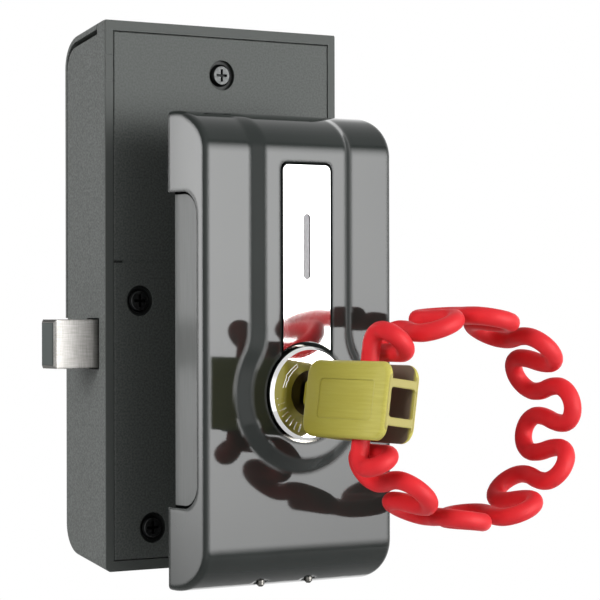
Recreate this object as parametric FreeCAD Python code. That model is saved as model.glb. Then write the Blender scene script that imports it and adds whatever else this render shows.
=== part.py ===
"""Electronic locker lock: a key-operated deadbolt with a reader unit outside the door,
a battery case inside it, and a key whose head hangs on a zigzag wristband.

Millimetres. Origin: where the cylinder axis meets the door's outer face.
+X right seen from outside, +Y into the locker, +Z up. The bolt is thrown and the key is in.
"""
import FreeCAD, Part
import math
import os

V = FreeCAD.Vector

# Door and cylinder axis
DOOR = 18.0                 # door thickness that the two units clamp
RUN = 0.2                   # running clearance of moving metal parts
FIT = 0.1                   # clearance of parts that are only assembled

# Outer unit
UNIT_LEFT = -33.35
UNIT_RIGHT = 33.35
UNIT_TOP = 82.6
UNIT_BOTTOM = -57.4
UNIT_DEPTH = 19.9           # door face to the flat front
UNIT_WALL = 2.2
UNIT_NOSE_Y = 18.0          # depth of the rounded top and bottom
UNIT_NOSE_TOP = 12.5
UNIT_NOSE_BOTTOM = 13.0
UNIT_EDGE = 1.5             # radius along both sides of the front

# Raised band down the front, flaring into a ring round the cylinder
BAND_RISE = 3.0
BAND_HALF = 14.6
BAND_SLOPE = 3.3            # how far its flanks spread towards the cover
RING_R = 19.7
FLARE_R = 14.0
BAND_FLANK = ((0.0, -0.2), (0.04, -0.07), (0.16, 0.1), (0.84, 0.85), (0.96, 1.0), (1.0, 1.15))
BAND_JOIN = 55.0            # height where the flat stretch meets the rounded top

# Cut-out in the left wall and the insert behind it
CUT_LOW = -33.1
CUT_HIGH = 58.8
CUT_DEPTH = 15.2
CUT_CORNER = 7.0
INSERT_WALL = 2.0
INSERT_LAP = 3.0

# Fascia, light and reader
FASCIA_HALF = 8.65
FASCIA_TOP = 67.0
FASCIA_T = 1.3
FASCIA_GAP = 0.35
FASCIA_END_GAP = 0.6
FASCIA_CORNER = 1.5
LIGHT_HALF = 1.35
LIGHT_LOW = 33.3
LIGHT_HIGH = 52.5
BOARD_T = 1.6
READER_HALF = 24.0
READER_LOW = 27.0
READER_HIGH = 66.0
READER_GAP = 3.1            # cover wall to board
ANTENNA_IN = 18.0
ANTENNA_OUT = 22.0
ANTENNA_T = 2.0

# Contact studs for an outside battery
STUD_X = 8.6
STUD_Y = -11.2
STUD_R = 1.2
STUD_OUT = 1.3
STUD_LEN = 7.0

# Base plate
BASE_T = 2.5
NUT_T = 4.0
NUT_FLATS = 28.0

# Cylinder
DISC_R = 13.7
DISC_HOLE = 14.4
DISC_PROUD = 1.7            # stands out of the band
DISC_BEVEL = 0.9
FLANGE_R = 17.0
FLANGE_T = 2.0
BARREL_R = 10.5
BARREL_END = 1.0            # reach into the case plate
PLUG_R = 6.6
PLUG_SET_BACK = 0.5
SHOULDER_Y = 4.0
SHOULDER_T = 2.0
NECK_R = 5.0
NECK_END = 10.0
REAR_BORE = 8.2
CLIP_R = 7.2
CLIP_T = 0.9
CLIP_OPEN = 5.0
WAFER_COUNT = 5
WAFER_PITCH = 3.6
WAFER_T = 1.0
WAFER_FIRST = -17.0

# Key, which stands a little past upright
KEY_TURN = 8.0              # degrees about the cylinder axis
BLADE_T = 2.2
BLADE_H = 7.3
BLADE_TIP = 2.0
BLADE_TAIL = -35.7
CUT_DEPTHS = (0.5, 1.1, 0.8, 1.3, 0.6)
HEAD_NEAR = -29.6
HEAD_LEN = 39.1
HEAD_T = 11.6
HEAD_H = 22.2
HEAD_Z = -1.5               # middle of the head, slightly under the blade
HEAD_CORNER = 4.5
HEAD_EDGE = 1.4
HEAD_WALL = 1.7
NECK_T = 5.2
NECK_GAP = 0.5              # neck to cylinder face
WINDOW_HALF = 4.1
WINDOW_H = 8.4
BAR_H = 2.4
SLOT_START = -46.2
PANEL_NEAR = -36.9
PANEL_FAR = -62.6
PANEL_H = 11.3
PANEL_DEEP = 0.3
TAG_R = 1.6
TAG_LEN = 11.4
TAG_Z = 6.0
TAG_END = -46.0             # outer end of the tag in its bore

# Wristband: a moulded zigzag tube on an oval ring
TUBE_R = 2.65
TUBE_SIDES = 12
RING_X = 36.3
RING_Z = -2.15
RING_A = 33.8
RING_B = 29.7
RING_START = 148.5          # degrees, first corner after the head
RING_END = -153.0
RING_CORNERS = 18
RING_NEAR = -56.0           # centre line of the near bends
RING_FAR = -45.0
BEND_OVER = 1.0             # bends reach past the ring's corners, so the legs lean back
STRAND_Y = -51.7            # where the band runs through the head
STRAND_GAP = 0.3            # band to the solid grip
STRAND_R = 4.0
STRAND_TOP = 18.9
STRAND_BOTTOM = -20.2

# Inner case
CASE_LEFT = -43.75
CASE_RIGHT = 39.95
CASE_TOP = 111.15
CASE_BOTTOM = -53.0
CASE_DEPTH = 31.0
CASE_WALL = 2.0
SIDE_DRAFT = 7.0            # degrees
TOP_DRAFT = 8.5
BOTTOM_DRAFT = 8.0
REAR_ROUND = 10.0
CASE_EDGE = 1.6
FRAME_DEPTH = 6.0           # front frame, ahead of the battery cover
FRAME_DROP = 0.8
PLATE_T = 2.0
PLATE_SIDE = 2.9
PLATE_TOP = 3.3
PLATE_GAP = 0.25
LEDGE = 2.0
LEDGE_T = 1.5
LID_WALL = 2.2
LID_END = 22.0
LID_GAP = 0.5
LID_TOP_GAP = 1.6
LID_PROUD = 0.45
TAB_LINES = (92.4, 99.9)    # fine lines of the release tab beside the plate
MARK_Z = 38.8               # seam across the plate and the tick at its left end
MARK_LEN = 3.0
LINE_W = 0.35
LINE_DEEP = 0.3

# Bolt and gear train
BOLT_OUT = 14.5             # throw beyond the case wall
BOLT_LOW = 7.2
BOLT_HIGH = 21.7
BOLT_FRONT = 23.4
BOLT_T = 8.1
BOLT_BEVEL = 0.9
BOLT_SLOT = 0.4
BOLT_TAIL_END = 8.0
MODULE = 1.0
TEETH = 19
RACK_START = -23.0
RACK_END = 7.0
BACKLASH = 0.12
PINION_IN = 0.4             # pinion face inside the bolt's thickness, each side
HUB_R = 5.0
SPINDLE_SQ = 5.0

# Chassis
CHASSIS_T = 1.5
CHASSIS_GAP = 0.5
CHASSIS_LEFT = -38.95
CHASSIS_RIGHT = 30.0
CHASSIS_LOW = -13.0
CHASSIS_HIGH = 24.0
POST_R = 2.2

# Blocking solenoid above the bolt
SOL_X = -20.0
SOL_LOW = 31.0
SOL_ROOM = 1.0              # yoke to the battery tray above it
SOL_HALF = 8.0
SOL_DEPTH = 6.0
SOL_PLATE = 1.2
COIL_R = 5.8
PIN_R = 2.0
PIN_RAISED = 0.9            # tip above the bolt when drawn back
PIN_TRAVEL = 3.5
COLLAR_R = 3.4
COLLAR_T = 0.8
NOTCH_HALF = 3.6
NOTCH_DEEP = 4.2
SPRING_WIRE = 0.25
SPRING_SIDES = 6
SPRING_R = 2.9
SPRING_TURNS = 4
SPRING_GAP = 0.05

# Batteries
CELL_R = 7.1
CELL_LEN = 49.2
CELL_NUB_R = 2.7
CELL_NUB = 1.0
CELL_COUNT = 4
CELL_PITCH = 15.2
CELL_BACK = 11.8            # cell axis to the case's rear face
CELL_GAP = 0.4              # cell to tray wall and to lid rib
CELL_TOP_ROOM = 10.65       # upper contacts to the case top at the door
TRAY_T = 1.5
BACK_WALL_IN = 6.5          # wall behind the electronics, in front of the case's rear face
CONTACT_T = 0.4

# Boards and cable
CTRL_LEFT = -6.0
CTRL_RIGHT = 32.0
CTRL_LOW = -46.0
CTRL_ROOM = 6.0             # board to the battery tray above it
CTRL_Y = 36.0
CABLE_R = 1.5
CABLE_IN = 5.0              # cable in from the reader board's edge
CABLE_DROP = 10.0           # cable below the battery tray

# Screws
SCREW_HEAD_R = 3.4
SCREW_HEAD_T = 1.3
SCREW_SINK_R = 4.6
SCREW_SINK = 1.3
SCREW_R = 1.4
SCREW_BITE = 0.8            # screw hole into the battery tray's wall
BOSS_R = 3.5
TOP_SCREW_DROP = 15.35
SCREW_PLACES = ((-2.55, CASE_TOP - TOP_SCREW_DROP), (-31.95, 27.2), (-27.55, -40.6), (28.15, 27.2), (23.75, -40.6))
BOLT_R = 2.0
BOLT_HEAD_R = 3.5
BOLT_HEAD_T = 3.0
BOLT_REACH = 8.0
FIXING_PLACES = ((-1.9, 74.0), (-1.9, -40.0))

# Values worked out from the sizes above
FRONT = -UNIT_DEPTH
BAND_FRONT = FRONT - BAND_RISE
DISC_FRONT = BAND_FRONT - DISC_PROUD
INNER_FRONT = FRONT + UNIT_WALL
CASE_FRONT = DOOR
CASE_REAR = CASE_FRONT + CASE_DEPTH
CASE_MID = (CASE_LEFT + CASE_RIGHT) / 2
CABLE_X = READER_HALF - CABLE_IN
CELL_Y = CASE_REAR - CELL_BACK
BACK_WALL_Y = CASE_REAR - BACK_WALL_IN
PITCH_R = MODULE * TEETH / 2
TRAVEL = PITCH_R * math.pi / 2
BOLT_REAR = BOLT_FRONT + BOLT_T
CHASSIS_Y = BOLT_REAR + CHASSIS_GAP
SHELL_FRONT = CASE_FRONT + PLATE_T + LEDGE_T
HEAD_FAR = HEAD_NEAR - HEAD_LEN
HEAD_GRIP_END = STRAND_Y + TUBE_R + STRAND_GAP
READER_Y = INNER_FRONT + READER_GAP
CELL_ROOM = CELL_LEN + 2 * (CELL_NUB + CONTACT_T)
TRAY_Z = CASE_TOP - CELL_TOP_ROOM - CELL_ROOM - TRAY_T
CELL_LOW = TRAY_Z + TRAY_T + CONTACT_T + CELL_NUB
SOL_HIGH = TRAY_Z - SOL_ROOM
CTRL_HIGH = TRAY_Z - CTRL_ROOM
CABLE_Z = TRAY_Z - CABLE_DROP
PIN_Y = (BOLT_FRONT + BOLT_REAR) / 2
PIN_TIP = BOLT_HIGH + PIN_RAISED
COLLAR_LOW = BOLT_HIGH + PIN_TRAVEL + RUN
TRAY_WALL_Y = CELL_Y - CELL_R - CELL_GAP - TRAY_T
SCREW_LEN = TRAY_WALL_Y + SCREW_BITE - CASE_FRONT - PLATE_T


def box(x0, x1, y0, y1, z0, z1):
    """A block between two corners."""
    return Part.makeBox(x1 - x0, y1 - y0, z1 - z0, V(x0, y0, z0))


def rod(radius, y0, y1, x=0.0, z=0.0):
    """A round bar along Y."""
    return Part.makeCylinder(radius, y1 - y0, V(x, y0, z), V(0, 1, 0))


def post(radius, x, y, z0, z1):
    """A round bar along Z."""
    return Part.makeCylinder(radius, z1 - z0, V(x, y, z0), V(0, 0, 1))


def joined(first, *others):
    """Solids fused into one, with leftover seams removed."""
    return first.fuse(list(others)).removeSplitter()


def line(a, b):
    return Part.makeLine(a, b)


def arc(a, middle, b):
    return Part.Arc(a, middle, b).toShape()


def rounded_block(x0, x1, y0, y1, z0, z1, radius, axis):
    """A block with the four edges along one axis rounded."""
    block = box(x0, x1, y0, y1, z0, z1)
    along = [e for e in block.Edges if abs(abs(e.tangentAt(0).dot(axis)) - 1) < 1e-6]
    return block.makeFillet(radius, along)


def many_sided(radius, count, centre, across, up):
    """Regular outline of a tube or wire, drawn in the plane of two directions."""
    points = []
    for k in range(count):
        turn = 2 * math.pi * k / count
        points.append(centre + across * (radius * math.cos(turn)) + up * (radius * math.sin(turn)))
    return Part.makePolygon(points + points[:1])


def edges_where(shape, test):
    """The edges whose every sampled point passes the test."""
    found = []
    for edge in shape.Edges:
        first, last = edge.ParameterRange
        points = [edge.valueAt(first + (last - first) * k / 4) for k in range(5)]
        if all(test(p) for p in points):
            found.append(edge)
    return found


# Outer unit


def unit_profile(x, inset, rise=0.0):
    """The unit's side view at one x: a flat back, and a front that curls over at both ends."""
    centre_y = UNIT_NOSE_Y - UNIT_DEPTH
    front = FRONT + inset - rise
    edges = []
    ends = []
    for nose, limit, way in ((UNIT_NOSE_TOP, UNIT_TOP, 1), (UNIT_NOSE_BOTTOM, UNIT_BOTTOM, -1)):
        half = nose - inset
        centre = V(x, centre_y, limit - way * nose)
        tip = V(x, front, centre.z)
        crown = V(x, centre_y, centre.z + way * half)
        curve = Part.Ellipse(tip, crown, centre)
        edges.append(Part.ArcOfEllipse(curve, 0, math.pi / 2).toShape())
        edges.append(line(crown, V(x, 0, crown.z)))
        ends.append((tip, V(x, 0, crown.z)))
    edges.append(line(ends[0][0], ends[1][0]))
    edges.append(line(ends[0][1], ends[1][1]))
    return Part.Wire(Part.__sortEdges__(edges))


def unit_solid(inset):
    wire = unit_profile(UNIT_LEFT + inset, inset)
    return Part.Face(wire).extrude(V(UNIT_RIGHT - UNIT_LEFT - 2 * inset, 0, 0))


def band_outline(y, half, ring):
    """The band's outline at one depth: two straight sides flaring into the ring."""
    top = BAND_JOIN
    reach = half + FLARE_R
    flare_z = math.sqrt((ring + FLARE_R) ** 2 - reach ** 2)
    meet = ring / (ring + FLARE_R)
    edges = []
    for side in (1, -1):
        start = V(side * half, y, top)
        bend = V(side * half, y, flare_z)
        touch = V(side * reach * meet, y, flare_z * meet)
        turn = math.atan2(flare_z, reach) / 2
        middle = V(side * (reach - FLARE_R * math.cos(turn)), y, flare_z - FLARE_R * math.sin(turn))
        edges.append(line(start, bend))
        edges.append(arc(bend, middle, touch))
        edges.append(arc(touch, V(side * ring * math.cos(0.4), y, -ring * math.sin(0.4)), V(0, y, -ring)))
    edges.append(line(V(-half, y, top), V(half, y, top)))
    return Part.Wire(Part.__sortEdges__(edges))


def band():
    """The raised band: a flat stretch with softened sloping flanks, and the stretch that curls over the top.

    Each pair in BAND_FLANK is a place on the flank: its share of the rise, and of the spread."""
    outlines = []
    left = []
    right = []
    for down, out in BAND_FLANK:
        half = BAND_HALF + BAND_SLOPE * out
        outlines.append(band_outline(BAND_FRONT + BAND_RISE * down, half, RING_R + BAND_SLOPE * out))
        left.insert(0, unit_profile(-half, 0.0, BAND_RISE * (1 - down)))
        right.append(unit_profile(half, 0.0, BAND_RISE * (1 - down)))
    flat = Part.makeLoft(outlines, True, True)
    over = Part.makeLoft(left + right, True, True)
    over = over.common(box(-half, half, BAND_FRONT, 0, BAND_JOIN, UNIT_TOP))
    root = Part.Face(outlines[-1]).extrude(V(0, UNIT_WALL / 2, 0))
    return over.fuse([flat, root])


def front_cover():
    outer = unit_solid(0.0)
    corners = edges_where(outer, lambda p: p.y < -0.01 and (p.x < UNIT_LEFT + 0.01 or p.x > UNIT_RIGHT - 0.01))
    outer = outer.makeFillet(UNIT_EDGE, corners)
    cover = outer.fuse(band())
    cover = cover.cut(unit_solid(UNIT_WALL).fuse(box(UNIT_LEFT + UNIT_WALL, UNIT_RIGHT - UNIT_WALL, -1, 1,
                                                     UNIT_BOTTOM + UNIT_WALL, UNIT_TOP - UNIT_WALL)))
    opening = rounded_block(UNIT_LEFT - 1, UNIT_LEFT + UNIT_WALL + 0.01, -CUT_DEPTH, 9, CUT_LOW, CUT_HIGH,
                            CUT_CORNER, V(1, 0, 0))
    cuts = [opening, rod(DISC_HOLE, BAND_FRONT - 1, 0), fascia_form(FASCIA_GAP, 1.0)]
    cuts.append(light_form(LIGHT_HALF, BAND_FRONT, INNER_FRONT + 1))
    for x in (-STUD_X, STUD_X):
        cuts.append(post(STUD_R + FIT, x, STUD_Y, UNIT_BOTTOM - 1, UNIT_BOTTOM + STUD_LEN - 0.5))
        cuts.append(post(STUD_R + 1.0, x, STUD_Y, UNIT_BOTTOM - 1, stud_skin() + 0.5))
    cover = cover.cut(cuts)
    pegs = []
    for x in (-READER_HALF + 3, READER_HALF - 3):
        for z in (READER_LOW + 3, READER_HIGH - 3):
            pegs.append(rod(2.0, INNER_FRONT - 0.5, READER_Y, x, z))
    blocks = []
    for x in (-STUD_X, STUD_X):
        block = box(x - 2.6, x + 2.6, STUD_Y - 2.6, STUD_Y + 2.6, UNIT_BOTTOM, UNIT_BOTTOM + STUD_LEN + 1)
        block = block.common(unit_solid(UNIT_WALL / 2))
        blocks.append(block.cut(post(STUD_R + FIT, x, STUD_Y, UNIT_BOTTOM, UNIT_BOTTOM + STUD_LEN - 0.5)))
    return joined(cover, *pegs, *blocks)


def stud_skin():
    """Height of the unit's underside at the studs."""
    centre_y = UNIT_NOSE_Y - UNIT_DEPTH
    share = (STUD_Y - centre_y) / UNIT_NOSE_Y
    return UNIT_BOTTOM + UNIT_NOSE_BOTTOM * (1 - math.sqrt(1 - share * share))


def contact_studs():
    studs = []
    low = stud_skin() - STUD_OUT
    for x in (-STUD_X, STUD_X):
        body = post(STUD_R, x, STUD_Y, low, UNIT_BOTTOM + STUD_LEN - 0.5)
        tip = edges_where(body, lambda p: p.z < low + 0.01)
        studs.append(body.makeChamfer(STUD_R * 0.5, tip))
    return Part.makeCompound(studs)


def fascia_form(gap, proud):
    """The fascia's outline, grown by a gap, as a block from its seat to a little above the band."""
    half = FASCIA_HALF + gap
    block = box(-half, half, BAND_FRONT - proud, BAND_FRONT + FASCIA_T, 0, FASCIA_TOP + gap)
    top = edges_where(block, lambda p: p.z > FASCIA_TOP - 0.01 and abs(p.x) > half - 0.01)
    return block.makeFillet(FASCIA_CORNER, top)


def light_form(half, y0, y1):
    """The round-ended slot of the status light."""
    middle = box(-half, half, y0, y1, LIGHT_LOW + half, LIGHT_HIGH - half)
    return joined(middle, rod(half, y0, y1, 0, LIGHT_LOW + half), rod(half, y0, y1, 0, LIGHT_HIGH - half))


def fascia_plate():
    """Bright plate down the band, with a concave end that follows the cylinder's ring."""
    proud = FASCIA_GAP / 3
    plate = fascia_form(0.0, proud).cut(rod(DISC_HOLE + FASCIA_END_GAP, BAND_FRONT - 1, BAND_FRONT + FASCIA_T + 1))
    front = edges_where(plate, lambda p: p.y < BAND_FRONT - proud + 0.01)
    plate = plate.makeChamfer(0.2, front)
    return plate.cut(light_form(LIGHT_HALF, BAND_FRONT - 2, BAND_FRONT + FASCIA_T + 1))


def light_pipe():
    return light_form(LIGHT_HALF - FIT, BAND_FRONT + 0.3, READER_Y)


def reader_board():
    board = box(-READER_HALF, READER_HALF, READER_Y, READER_Y + BOARD_T, READER_LOW, READER_HIGH)
    rear = READER_Y + BOARD_T
    parts = [box(-19, -8, rear, rear + 1.6, 42, 54), box(-4, 5, rear, rear + 1.2, 46, 53)]
    parts.append(box(CABLE_X - 4, CABLE_X + 4, rear, rear + 3.0, CABLE_Z - 3, CABLE_Z + 3))
    parts.append(rod(3.0, rear, rear + 5.0, -14, 33))
    return joined(board, *parts)


def antenna_coil():
    """Reading coil: a flat winding round the cylinder flange, on its former."""
    y0 = INNER_FRONT + FIT
    ring = rod(ANTENNA_OUT, y0, y0 + ANTENNA_T).cut(rod(ANTENNA_IN, y0 - 1, y0 + ANTENNA_T + 1))
    rims = edges_where(ring, lambda p: abs(math.hypot(p.x, p.z) - ANTENNA_OUT) < 0.01)
    return ring.makeChamfer(0.5, [e for e in rims if isinstance(e.Curve, Part.Circle)])


def side_insert():
    outer = UNIT_LEFT + UNIT_WALL + RUN
    wall = box(outer, outer + INSERT_WALL, -CUT_DEPTH - 1, 0, CUT_LOW - INSERT_LAP, CUT_HIGH + INSERT_LAP)
    front = edges_where(wall, lambda p: p.y < -CUT_DEPTH - 0.99 and p.x < outer + 0.01)
    return wall.makeFillet(0.8, front)


def base_plate():
    left = UNIT_LEFT + UNIT_WALL + RUN + INSERT_WALL
    right = UNIT_RIGHT - UNIT_WALL - RUN
    low = UNIT_BOTTOM + UNIT_WALL + RUN
    high = UNIT_TOP - UNIT_WALL - RUN
    plate = box(left, right, -BASE_T, 0, low, high)
    extras = []
    for x, z in FIXING_PLACES:
        extras.append(rod(4.6, -BASE_T - 6.0, -BASE_T, x, z))
    for z in (low + 1.0, high - 2.0):
        extras.append(box(-12, 12, -BASE_T - 2.0, -BASE_T, z, z + 1.0))
    plate = joined(plate, *extras)
    cuts = [rod(BARREL_R + FIT, -BASE_T - 1, 1)]
    for x, z in FIXING_PLACES:
        cuts.append(rod(BOLT_R + FIT, -BASE_T - 7, 1, x, z))
    cuts.append(rod(CABLE_R + 0.8, -BASE_T - 1, 1, CABLE_X, CABLE_Z))
    return plate.cut(cuts)


# Cylinder


def cylinder_rosette():
    disc = rod(DISC_R, DISC_FRONT, INNER_FRONT)
    rim = edges_where(disc, lambda p: p.y < DISC_FRONT + 0.01 and math.hypot(p.x, p.z) > DISC_R - 0.01)
    disc = disc.makeChamfer(DISC_BEVEL, rim)
    return disc.cut(rod(PLUG_R + RUN, DISC_FRONT - 1, INNER_FRONT + 1))


def cylinder_housing():
    barrel = rod(BARREL_R, INNER_FRONT + 1, DOOR + BARREL_END)
    flange = rod(FLANGE_R, INNER_FRONT, INNER_FRONT + FLANGE_T)
    housing = joined(barrel, flange)
    bores = [rod(PLUG_R + RUN, INNER_FRONT - 1, SHOULDER_Y)]
    bores.append(rod(NECK_R + RUN, SHOULDER_Y - 1, SHOULDER_Y + SHOULDER_T + 1))
    bores.append(rod(REAR_BORE, SHOULDER_Y + SHOULDER_T, DOOR + BARREL_END + 1))
    return housing.cut(bores)


def cylinder_nut():
    """Hexagon nut that holds the barrel against the base plate."""
    corner = NUT_FLATS / math.sqrt(3)
    points = []
    for k in range(7):
        turn = math.radians(60 * k + 30)
        points.append(V(corner * math.sin(turn), -BASE_T - NUT_T, corner * math.cos(turn)))
    nut = Part.Face(Part.makePolygon(points)).extrude(V(0, NUT_T, 0))
    return nut.cut(rod(BARREL_R + FIT, -BASE_T - NUT_T - 1, 0))


def turned(shape):
    """Turns a piece of the key or its way from upright to where the key stands."""
    shape.rotate(V(0, 0, 0), V(0, 1, 0), KEY_TURN)
    return shape


def keyway(y0, y1):
    half_t = BLADE_T / 2 + RUN
    half_h = BLADE_H / 2 + RUN
    return box(-half_t, half_t, y0, y1, -half_h, half_h)


def wafer_places():
    return [WAFER_FIRST + WAFER_PITCH * k for k in range(WAFER_COUNT)]


def cylinder_plug():
    front = DISC_FRONT + PLUG_SET_BACK
    plug = joined(rod(PLUG_R, front, SHOULDER_Y - RUN), rod(NECK_R, SHOULDER_Y - 1, NECK_END))
    clip_y = SHOULDER_Y + SHOULDER_T + RUN
    groove = rod(NECK_R + 1, clip_y, clip_y + CLIP_T + FIT).cut(rod(NECK_R - 0.7, clip_y - 1, clip_y + 3))
    half = SPINDLE_SQ / 2
    cuts = [turned(keyway(front - 1, BLADE_TIP + 0.5)), groove]
    cuts.append(box(-half, half, BLADE_TIP + 0.5, NECK_END + 1, -half, half))
    for y in wafer_places():
        cuts.append(turned(box(-3.0, 3.0, y, y + WAFER_T + FIT, -PLUG_R, PLUG_R)))
    return plug.cut(cuts)


def wafers():
    """Plates across the plug, drawn flush by the key that passes through their windows."""
    plates = []
    half_t = BLADE_T / 2 + FIT
    half_h = BLADE_H / 2 + FIT
    for y in wafer_places():
        plate = box(-2.8, 2.8, y + FIT / 2, y + FIT / 2 + WAFER_T, -PLUG_R, PLUG_R)
        plate = plate.common(rod(PLUG_R - FIT, y - 1, y + 3))
        plates.append(plate.cut(box(-half_t, half_t, y - 1, y + 3, -half_h, half_h)))
    return turned(Part.makeCompound(plates))


def plug_clip():
    y0 = SHOULDER_Y + SHOULDER_T + RUN
    ring = rod(CLIP_R, y0, y0 + CLIP_T).cut(rod(NECK_R - 0.6, y0 - 1, y0 + 2))
    return ring.cut(box(-CLIP_OPEN / 2, CLIP_OPEN / 2, y0 - 1, y0 + 2, -CLIP_R - 1, 0))


def gear_points(clearance):
    """Root, flank and tip points of one tooth space pattern, as radius and angle from a tooth's middle."""
    half_pitch = math.pi / TEETH
    thick = math.pi * MODULE / 2 - clearance
    angle = math.radians(20)
    base = PITCH_R * math.cos(angle)
    tip = PITCH_R + MODULE
    root = PITCH_R - 1.25 * MODULE

    def half_width(radius):
        if radius < base:
            radius = base
        pressure = math.acos(base / radius)
        involute = math.tan(pressure) - pressure
        at_pitch = math.tan(angle) - angle
        return thick / (2 * PITCH_R) + at_pitch - involute

    rows = [(root, half_width(base)), (base, half_width(base))]
    rows.append(((PITCH_R + base) / 2, half_width((PITCH_R + base) / 2)))
    rows.append((PITCH_R, half_width(PITCH_R)))
    rows.append((PITCH_R + MODULE / 2, half_width(PITCH_R + MODULE / 2)))
    rows.append((tip, half_width(tip)))
    return rows, half_pitch


def drive_pinion():
    """Nineteen involute teeth; a tooth space points up, where a rack tooth stands at rest."""
    rows, half_pitch = gear_points(BACKLASH)
    y0 = BOLT_FRONT + PINION_IN
    y1 = BOLT_REAR - PINION_IN
    points = []
    for k in range(TEETH):
        middle = math.pi / 2 + half_pitch + 2 * half_pitch * k
        for radius, width in rows:
            points.append((radius, middle - width))
        for radius, width in reversed(rows):
            points.append((radius, middle + width))
    corners = [V(r * math.cos(a), y0, r * math.sin(a)) for r, a in points]
    gear = Part.Face(Part.makePolygon(corners + corners[:1])).extrude(V(0, y1 - y0, 0))
    front_hub = rod(HUB_R, CASE_FRONT + PLATE_T + 0.4, y0 + 0.5)
    rear_hub = rod(HUB_R, y1 - 0.5, CHASSIS_Y + CHASSIS_T)
    half = SPINDLE_SQ / 2
    return joined(gear, front_hub, rear_hub).cut(box(-half, half, 0, 60, -half, half))


def drive_spindle():
    half = SPINDLE_SQ / 2
    bar = box(-half, half, BLADE_TIP + 0.5, CHASSIS_Y + CHASSIS_T + 1.0, -half, half)
    along = [e for e in bar.Edges if abs(abs(e.tangentAt(0).y) - 1) < 1e-6]
    return bar.makeChamfer(0.4, along)


# Key


def key_blade():
    half_t = BLADE_T / 2
    half_h = BLADE_H / 2
    blade = box(-half_t, half_t, BLADE_TAIL, BLADE_TIP, -half_h, half_h)
    tip = [e for e in blade.Edges if abs(e.CenterOfMass.y - BLADE_TIP) < 0.01 and abs(e.CenterOfMass.z) > 1]
    blade = blade.makeChamfer(1.4, tip)
    cuts = [box(half_t - 0.6, half_t + 1, HEAD_NEAR + 9, BLADE_TIP + 1, -0.6, 0.6)]
    for y, depth in zip(wafer_places(), CUT_DEPTHS):
        middle = y + WAFER_T / 2 + FIT / 2
        low = half_h - depth
        notch = [V(-5, middle - 0.8, low), V(-5, middle + 0.8, low), V(-5, middle + 0.8 + depth, half_h + 0.01),
                 V(-5, middle - 0.8 - depth, half_h + 0.01), V(-5, middle - 0.8, low)]
        cuts.append(Part.Face(Part.makePolygon(notch)).extrude(V(10, 0, 0)))
    return turned(blade.cut(cuts))


def key_head():
    """A hollow moulded grip, open at top, bottom and far end, with its band slot and a moulded neck."""
    half_t = HEAD_T / 2
    low = HEAD_Z - HEAD_H / 2
    high = HEAD_Z + HEAD_H / 2
    head = rounded_block(-half_t, half_t, HEAD_FAR, HEAD_NEAR, low, high, HEAD_CORNER, V(1, 0, 0))
    rim = edges_where(head, lambda p: abs(abs(p.x) - half_t) < 0.01)
    head = head.makeFillet(HEAD_EDGE, rim)
    neck = rounded_block(-NECK_T / 2, NECK_T / 2, HEAD_NEAR - 1, DISC_FRONT - NECK_GAP,
                         -BLADE_H / 2, BLADE_H / 2, 1.2, V(0, 1, 0))
    head = head.fuse(neck)
    wall = HEAD_WALL
    cavity = rounded_block(-half_t + wall, half_t - wall, HEAD_FAR + wall, HEAD_GRIP_END,
                           low + wall, high - wall, HEAD_CORNER - wall, V(1, 0, 0))
    window = rounded_block(-WINDOW_HALF, WINDOW_HALF, HEAD_FAR - 1, HEAD_FAR + wall + 1,
                           HEAD_Z - WINDOW_H / 2, HEAD_Z + WINDOW_H / 2, 0.8, V(0, 1, 0))
    cuts = [cavity, window]
    bar = HEAD_Z + WINDOW_H / 2 + BAR_H
    cuts.append(box(-WINDOW_HALF, WINDOW_HALF, HEAD_FAR - 1, SLOT_START, bar, high + 1))
    cuts.append(box(-WINDOW_HALF, WINDOW_HALF, HEAD_FAR - 1, SLOT_START, low - 1, 2 * HEAD_Z - bar))
    for side in (-1, 1):
        x0, x1 = sorted((side * (half_t - PANEL_DEEP), side * (half_t + 1)))
        cuts.append(rounded_block(x0, x1, PANEL_FAR, PANEL_NEAR, HEAD_Z - PANEL_H / 2, HEAD_Z + PANEL_H / 2,
                                  1.2, V(1, 0, 0)))
    half_b = BLADE_T / 2
    cuts.append(box(-half_b, half_b, BLADE_TAIL, DISC_FRONT, -BLADE_H / 2, BLADE_H / 2))
    cuts.append(rod(TAG_R + FIT, HEAD_GRIP_END - 1, TAG_END + TAG_LEN + FIT, 0, TAG_Z))
    return turned(head.cut(cuts))


def transponder():
    body = rod(TAG_R, TAG_END, TAG_END + TAG_LEN, 0, TAG_Z)
    ends = [e for e in body.Edges if isinstance(e.Curve, Part.Circle)]
    return turned(body.makeChamfer(TAG_R * 0.5, ends))


def ring_corners():
    """Corners of the many-sided ring that the zigzag lies on, from above the head round to below it."""
    corners = [(0.0, STRAND_TOP)]
    for k in range(RING_CORNERS):
        turn = math.radians(RING_START + (RING_END - RING_START) * k / (RING_CORNERS - 1))
        corners.append((RING_X + RING_A * math.cos(turn), RING_Z + RING_B * math.sin(turn)))
    corners.append((0.0, STRAND_BOTTOM))
    return corners


def s_leg(start, end):
    """Leg that leaves and arrives along Y: two equal arcs that bend opposite ways, or straight beside the head."""
    aside = V(end.x - start.x, 0, end.z - start.z)
    if aside.Length < 0.01:
        return [line(start, end)]
    along = abs(end.y - start.y)
    radius = (along ** 2 + aside.Length ** 2) / (4 * aside.Length)
    turn = math.asin(along / (2 * radius))
    ahead = V(0, math.copysign(radius * math.sin(turn / 2), end.y - start.y), 0)
    drift = aside * (radius * (1 - math.cos(turn / 2)) / aside.Length)
    middle = (start + end) * 0.5
    return [arc(start, start + ahead + drift, middle), arc(middle, end - ahead - drift, end)]


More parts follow.
